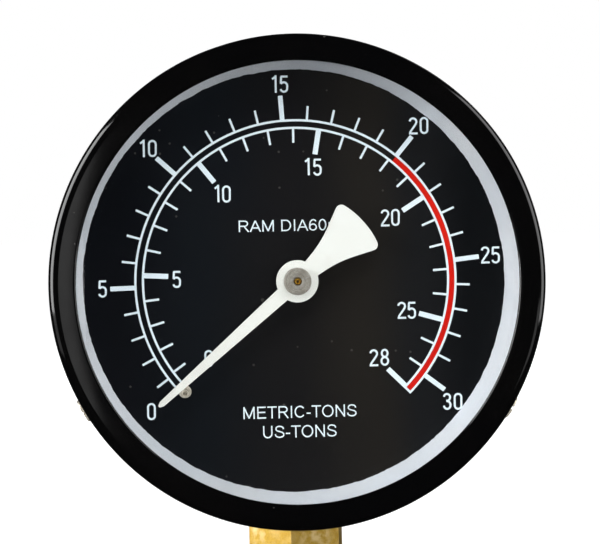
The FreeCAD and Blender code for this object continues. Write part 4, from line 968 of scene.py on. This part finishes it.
def makeHub():
    s = hubShape
    front, back = faceDepth("pointer_hub"), backDepth("pointer_hub")
    blade, seat = faceDepth("pointer"), backDepth("pointer")
    profile = [(s["bore"], back), (s["flange"], back), (s["flange"], seat), (s["shank"], seat),
               (s["shank"], blade), (s["boss"], blade), (s["boss"], front)]
    mouth, floor = s["grooveMouth"], s["grooveFloor"]
    for radius in s["grooves"]:
        profile += [(radius + mouth, front), (radius + floor, front - s["groove"]),
                    (radius - floor, front - s["groove"]), (radius - mouth, front)]
    profile += [(s["bore"] + s["boreEdge"], front), (s["bore"], front - s["boreEdge"]), (s["bore"], back)]
    piece = turned("pointer_boss", profile, steps=128, rounds=[(s["boss"], front, s["edge"], 4)])
    complete(piece, finishes["hubTurned"], body="pointer", replaced=["pointer_hub"])
    nose = faceDepth("pinion_arbor")
    mark = turned("spindle_end", [(radius, nose + stand) for radius, stand in s["mark"]], steps=64)
    complete(mark, finishes["spindleBrass"], body="pointer")


pinShape = {"radius": 0.8, "flange": 1.45, "flangeHeight": 0.7, "hollow": 0.5, "hollowDepth": 3.2,
            "hollowTaper": 0.8, "flangeRound": 0.2, "topRound": 0.16, "mouthRound": 0.1}


def makeStopPin():
    top, back, dialBack = faceDepth("stop_pin"), backDepth("stop_pin"), backDepth("dial")
    radius, flange, hollow = pinShape["radius"], pinShape["flange"], pinShape["hollow"]
    shoulder, bottom = dialFace + pinShape["flangeHeight"], top - pinShape["hollowDepth"]
    piece = turned("stop_post", [
        (0, back), (flange, back), (flange, dialBack), (radius, dialBack), (radius, dialFace),
        (flange, dialFace), (flange, shoulder), (radius, shoulder), (radius, top), (hollow, top),
        (hollow * pinShape["hollowTaper"], bottom), (0, bottom)],
        place=(pinPlace.x, 0, pinPlace.z), steps=64, rounds=[
        (flange, shoulder, pinShape["flangeRound"], 3), (radius, top, pinShape["topRound"], 3),
        (hollow, top, pinShape["mouthRound"], 2)])
    complete(piece, finishes["nickel"], replaced=["stop_pin"])


makePointer()
makeHub()
makeStopPin()
print("pointer, hub and stop pin made")


# ---- screws: modelled once, head towards the viewer, then turned into place

# bezel places are (degrees below the right, how proud, roll) and case places are (sideways, roll)
screwShape = {
    "bezel": {"head": 2.7, "height": 0.9, "dome": 0.25, "shank": 1.45, "length": 4.4},
    "case": {"head": 3.6, "height": 2.0, "dome": 0.8, "shank": 1.95, "length": 12.5},
    "slotWidth": 0.7, "slotDepth": 0.5, "slotPast": 1.0, "slotEdge": 0.05, "point": 0.3, "underRound": 0.12,
    "bezelDepth": 25.5, "bezelPlaces": ((31.8, 0.4, 35), (150.0, 0.0, -20)),
    "casePlaces": ((-6.5, 12), (6.5, 52)), "caseDown": 40.0,
}


def modelScrew(kind):
    sizes, point = screwShape[kind], screwShape["point"]
    head, height, shank, end = sizes["head"], sizes["height"], sizes["shank"], -sizes["length"]
    piece = turned("screw", [
        (0, end), (shank - point, end), (shank, end + point), (shank, 0), (head, 0), (head, height),
        (head / 2, height), (0, height)], place=(0, 0, 0), steps=72,
        rounds=[(head, height, sizes["dome"], 5), (head, 0, screwShape["underRound"], 2)])
    combine(piece, slab(((head + screwShape["slotPast"]) * 2, screwShape["slotDepth"] * 2,
                         screwShape["slotWidth"]), (0, -height, 0)))
    softenEdges(piece, screwShape["slotEdge"], segments=1, angle=60)
    return piece


def setScrew(source, direction, spot, roll):
    heading = Vector((0, -1, 0)).rotation_difference(Vector(direction)).to_matrix().to_4x4()
    return duplicate(source, Matrix.Translation(Vector(spot) * mm) @ heading
                     @ Matrix.Rotation(math.radians(roll), 4, "Y"))


def makeScrews():
    places = {"bezel": [], "case": []}
    for angle, proud, roll in screwShape["bezelPlaces"]:
        turn = math.radians(angle)
        out = Vector((math.cos(turn), 0, -math.sin(turn)))
        spot = out * (reach("bezel") + proud) + Vector((0, -screwShape["bezelDepth"], spindleZ))
        places["bezel"].append((out, spot, roll))
    for x, roll in screwShape["casePlaces"]:
        places["case"].append(((0, 1, 0), (x, -backDepth("case"), spindleZ - screwShape["caseDown"]), roll))
    for kind, spots in places.items():
        source = modelScrew(kind)
        made = [setScrew(source, *spot) for spot in spots]
        bpy.data.objects.remove(source)
        complete(join(made, kind + "_screw_pair"), finishes["nickel"],
                 replaced=[kind + "_screws"])


makeScrews()
print("screws made")


# ---- blow-out plug in the back

# the dish is the cap's outer face, as (radius, how far it is sunk)
plugShape = {"up": 30.0, "hole": 8.0, "inside": 8.6, "grip": 7.2, "depth": 1.6, "wall": 1.0, "edge": 0.7,
             "dish": ((0, 0.15), (1.3, 0.15), (1.7, 0.5), (5.6, 0.5), (6.3, 0)), "dishRound": 0.3,
             "lipRound": 0.2}


def makePlug():
    s = plugShape
    lip, outside, wallBack = reach("blowout_plug"), backDepth("blowout_plug"), backDepth("case")
    wallFront = wallBack + s["wall"]
    inside = wallFront + s["depth"]
    dish = [(radius, outside + sunk) for radius, sunk in s["dish"]]
    piece = turned("blowout_cap", dish + [
        (lip, outside), (lip, wallBack), (s["hole"], wallBack), (s["hole"], wallFront),
        (s["inside"], wallFront), (s["grip"], inside), (0, inside)],
        place=(0, 0, spindleZ + s["up"]), steps=128, rounds=[
        (lip, outside, s["edge"], 5), (lip, wallBack, s["lipRound"], 2), (*dish[3], s["dishRound"], 3)])
    complete(piece, finishes["rubber"], replaced=["blowout_plug"])


makePlug()


# ---- socket: flats, threaded shank, spigot and neck

socketShape = {
    "flats": 21.0, "flatsTop": 14.2, "turn": -8.2, "corner": 0.1,
    "chamfer": 1.1, "topShare": 0.6, "chamferIn": 0.15, "topIn": 0.5, "drumOver": 0.3,
    "neck": 8.6, "neckTop": 19.2, "neckFrom": 0.6, "blockOverlap": 0.1,
    "inlet": 1.5, "inletTop": 5.0, "drillPoint": 1.0, "shankEnd": -17.0, "spigot": 3.0, "spigotRound": 0.3,
    "core": 9.08, "lead": 0.5, "collar": -1.6, "collarFall": 0.45, "collarTop": 0.3, "threadRadius": 10.0,
}
# the tooth's root is sunk in the core, and its ends fade over a share of a turn
threadShape = {"pitch": 1.5, "turns": 9, "first": -2.35, "crest": 0.26, "gap": 0.12, "sunk": 0.3,
               "crestBand": 0.01, "fade": 3, "steps": 72}


def makeThread():
    # one tooth outline, carried down the shank by a screw, with both ends faded into the core
    s, outer = threadShape, socketShape["threadRadius"]
    root, foot = socketShape["core"] - s["sunk"], s["pitch"] - s["gap"]
    clearSelection()
    bpy.ops.mesh.primitive_plane_add(size=1, rotation=(math.radians(90), 0, 0),
                                     location=((root + outer) / 2 * mm, 0, s["first"] * mm))
    tooth = bpy.context.object
    tooth.scale = ((outer - root) * mm, foot * mm, 1)
    tooth.name = tooth.data.name = "socket_thread"
    settle(tooth)
    editing(tooth)
    pick(tooth, lambda v: v.co.x > (outer - s["crestBand"]) * mm)
    bpy.ops.transform.resize(value=(1, 1, s["crest"] / foot))
    selectAll()
    bpy.ops.mesh.delete(type="ONLY_FACE")
    leaveEditing()
    change = tooth.modifiers.new("helix", "SCREW")
    change.axis = "Z"
    change.angle = math.radians(360)
    change.screw_offset = -s["pitch"] * mm
    change.iterations = s["turns"]
    change.steps = change.render_steps = s["steps"]
    change.use_merge_vertices = False
    choose(tooth)
    bpy.ops.object.modifier_apply(modifier=change.name)
    capEnds(tooth)
    for v in tooth.data.vertices:
        radius = math.hypot(v.co.x, v.co.y) / mm
        down = (s["first"] - v.co.z / mm) / (s["pitch"] * s["turns"])
        fade = min(1.0, max(0.0, min(down, 1 - down) * s["turns"] * s["fade"]))
        wanted = root + (radius - root) * fade
        v.co.x *= wanted / radius
        v.co.y *= wanted / radius
    complete(tooth, finishes["socketBrass"], smooth=20)


def makeSocket():
    s = socketShape
    top, end, tip = s["flatsTop"], s["shankEnd"], s["shankEnd"] - s["spigot"]
    corner, inscribed = s["flats"] / math.sqrt(3), s["flats"] / 2 + s["chamferIn"]
    drumRadius = corner + s["drumOver"]
    clearSelection()
    bpy.ops.mesh.primitive_cylinder_add(vertices=6, radius=corner * mm, depth=top * mm,
                                        location=(0, 0, top / 2 * mm),
                                        rotation=(0, 0, math.radians(s["turn"])))
    stem = settle(bpy.context.object)
    roundAlong(stem, 2, s["corner"], 3)
    drum = turned("drum", [
        (0, 0), (inscribed, 0), (drumRadius, s["chamfer"]),
        (drumRadius, top - s["chamfer"] * s["topShare"]), (inscribed + s["topIn"], top), (0, top)],
        place=(0, 0, 0), upright=True, steps=144)
    combine(stem, drum, "INTERSECT")
    shank = turned("shank", [
        (0, s["inletTop"]), (s["inlet"], s["inletTop"] - s["drillPoint"]), (s["inlet"], tip),
        (s["spigot"], tip), (s["spigot"], end), (s["core"] - s["lead"], end), (s["core"], end + s["lead"]),
        (s["core"], s["collar"] - s["collarFall"]), (s["threadRadius"], s["collar"]),
        (s["threadRadius"], s["collarTop"]), (s["neck"], s["neckFrom"]), (s["neck"], s["neckTop"]),
        (0, s["neckTop"])], place=(0, 0, 0), upright=True, steps=144,
        rounds=[(s["spigot"], tip, s["spigotRound"], 3)])
    combine(stem, shank, "UNION")
    stem.name = stem.data.name = "socket_stem"
    complete(stem, finishes["socketBrass"], replaced=["socket"])
    makeThread()
    block = copyOfNode("socket", "socket_block")
    editing(block)
    selectAll()
    bpy.ops.mesh.bisect(plane_co=(0, 0, (s["neckTop"] - s["blockOverlap"]) * mm), plane_no=(0, 0, 1),
                        clear_inner=True, use_fill=True)
    leaveEditing()
    complete(block, finishes["socketBrass"])


makeSocket()
print("socket made")


# ---- Bourdon tube: it opens out as the pressure rises


def makeTube():
    piece = copyOfNode("bourdon_tube", "bourdon_tube_bent")
    complete(piece, finishes["tubeBronze"], body=None, replaced=["bourdon_tube"], smooth=40)
    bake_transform(piece)


makeTube()


# ---- finishes on the pieces that keep their engineering shape

keptFinishes = {
    "movementBrass": ["pinion_arbor", "sector_gear", "movement_pillars", "hairspring_collet", "link",
                      "hairspring_stud", "movement_back_plate", "movement_front_plate"],
    "steelTurned": ["sector_arbor", "movement_screws", "movement_mounting_screws", "tail_screw", "tip_screw",
                    "restrictor", "case_spacer_bushes"],
    "tubeBronze": ["hairspring"],
    "socketBrass": ["tip_piece"],
    "rubber": ["window_gasket", "socket_gasket"],
}
for finish, names in keptFinishes.items():
    for name in names:
        if not nodes[name].material_slots:
            nodes[name].data.materials.append(finishes[finish])
        for slot in nodes[name].material_slots:
            slot.material = finishes[finish]


# ---- floor, light and camera

studio = {
    "floorDrop": 0.4, "floorSize": 40.0, "floorTone": (0.8, 0.8, 0.8), "floorDrift": (0.82, 0.82, 0.815),
    "floorScale": 3.0, "floorRough": 0.9, "glowFrom": 0.12, "glowTo": 0.75, "glowLow": 0.6,
    "worldAir": (0.97, 0.985, 1), "worldDim": 0.012, "worldBright": 1.0, "lampAim": 20.0,
}
# azimuth from straight ahead, elevation, distance, width, height, radiance, lights matt, lights gloss
lamps = {
    "leftBox": (-82, 17, 0.8, 0.48, 0.72, 6.6, False, True),
    "leftLow": (-76, -11.5, 0.8, 0.46, 0.16, 0.62, False, True),
    "rightBox": (80, 17, 0.8, 0.46, 0.85, 2.7, False, True),
    "rightLow": (48, -11, 0.8, 0.34, 0.16, 0.75, False, True),
    "faceCard": (-6.25, -1.4, 1.05, 0.041, 0.21, 1.0, False, True),
    "backBox": (168, 28, 1.2, 0.8, 0.6, 2.4, True, True),
    "leftFill": (-65, 4, 1.1, 0.7, 0.8, 8.6, True, False),
    "rightFill": (60, -2, 1.1, 0.7, 0.8, 5.6, True, False),
    "topFill": (5, 50, 1.1, 0.8, 0.6, 6.0, True, False),
    "frontFill": (2, -1, 1.3, 0.5, 0.14, 50.0, True, False),
}
camera = {"azimuth": -3.4, "elevation": 1.5, "distance": 450.0, "roll": 1.2, "lens": 122.9, "sensor": 36.0,
          "aimRight": 0.15, "aimUp": 2.22, "clip": (0.01, 50.0)}


def bearing(azimuth, elevation):
    # which way a lamp or the camera lies from the gauge, and the level direction to the right of that view
    a, e = math.radians(azimuth), math.radians(elevation)
    return (Vector((math.sin(a) * math.cos(e), -math.cos(a) * math.cos(e), math.sin(e))),
            Vector((math.cos(a), math.sin(a), 0)))


def stand(name, data):
    thing = bpy.data.objects.new(name, data)
    bpy.context.scene.collection.objects.link(thing)
    return thing


def makeFloor():
    clearSelection()
    bpy.ops.mesh.primitive_circle_add(vertices=96, radius=studio["floorSize"] / 2, fill_type="NGON",
                                      location=(0, 0, cadBox[0].z - studio["floorDrop"] * mm))
    floor = settle(bpy.context.object)
    floor.name = "floor"
    paper, tree, shader = newMaterial("palePaper")
    where = add(tree, "TexCoord").outputs["Object"]
    cloud = add(tree, "TexNoise", {"Vector": where, "Scale": studio["floorScale"], "Detail": 2.0})
    tone = blendColour(tree, cloud.outputs["Fac"], (*studio["floorTone"], 1), (*studio["floorDrift"], 1))
    tree.links.new(tone, shader.inputs["Base Color"])
    away = add(tree, "VectorMath", {0: where}, operation="LENGTH").outputs["Value"]
    glow = remap(tree, away, studio["glowFrom"], studio["glowTo"], studio["glowLow"])
    seen = add(tree, "LightPath").outputs["Is Camera Ray"]
    tree.links.new(calculate(tree, "MULTIPLY", glow, seen), shader.inputs["Emission Strength"])
    shader.inputs["Emission Color"].default_value = (1, 1, 1, 1)
    shader.inputs["Roughness"].default_value = studio["floorRough"]
    floor.data.materials.append(paper)
    floor.visible_glossy = False
    floor.visible_transmission = False


def makeLamps():
    target = Vector((0, -studio["lampAim"] * mm, spindleZ * mm))
    for name, (azimuth, elevation, distance, width, height, strength, matt, gloss) in lamps.items():
        back = bearing(azimuth, elevation)[0]
        light = bpy.data.lights.new(name, "AREA")
        light.shape = "RECTANGLE"
        light.size, light.size_y = width, height
        light.energy = strength * math.pi * width * height
        lamp = stand(name, light)
        lamp.location = target + back * distance
        lamp.rotation_euler = (-back).to_track_quat("-Z", "Y").to_euler()
        lamp.visible_camera = False
        lamp.visible_diffuse = matt
        # a lamp seen through the window would be mirrored in its back face, so this follows gloss
        lamp.visible_glossy = lamp.visible_transmission = gloss


def makeWorld():
    world = bpy.data.worlds.new("studioAir")
    world.use_nodes = True
    bpy.context.scene.world = world
    tree = world.node_tree
    tree.nodes.clear()
    seen = add(tree, "LightPath").outputs["Is Camera Ray"]
    air = add(tree, "Background", {"Color": (*studio["worldAir"], 1), "Strength": studio["worldDim"]})
    paper = add(tree, "Background", {"Color": (1, 1, 1, 1), "Strength": studio["worldBright"]})
    both = add(tree, "MixShader", {0: seen, 1: air.outputs[0], 2: paper.outputs[0]})
    out = tree.nodes.new("ShaderNodeOutputWorld")
    tree.links.new(both.outputs[0], out.inputs["Surface"])


def makeCamera():
    opening = Vector((0, -faceDepth("bezel") * mm, spindleZ * mm))
    back, level = bearing(camera["azimuth"], camera["elevation"])
    roll = Matrix.Rotation(math.radians(-camera["roll"]), 3, back)
    right, up = roll @ level, roll @ back.cross(level)
    spot = opening + back * camera["distance"] * mm
    aim = opening + right * camera["aimRight"] * mm + up * camera["aimUp"] * mm
    away = (spot - aim).normalized()
    right = (right - away * right.dot(away)).normalized()
    data = bpy.data.cameras.new("camera")
    data.lens, data.sensor_width = camera["lens"], camera["sensor"]
    data.clip_start, data.clip_end = camera["clip"]
    thing = stand("camera", data)
    turn = Matrix((right, away.cross(right), away)).transposed()
    thing.matrix_world = Matrix.Translation(spot) @ turn.to_4x4()
    bpy.context.scene.camera = thing


makeFloor()
makeLamps()
makeWorld()
makeCamera()
bpy.context.scene.view_settings.view_transform = "Standard"
bpy.context.scene.view_settings.look = "None"
print("studio ready")

clearSelection()
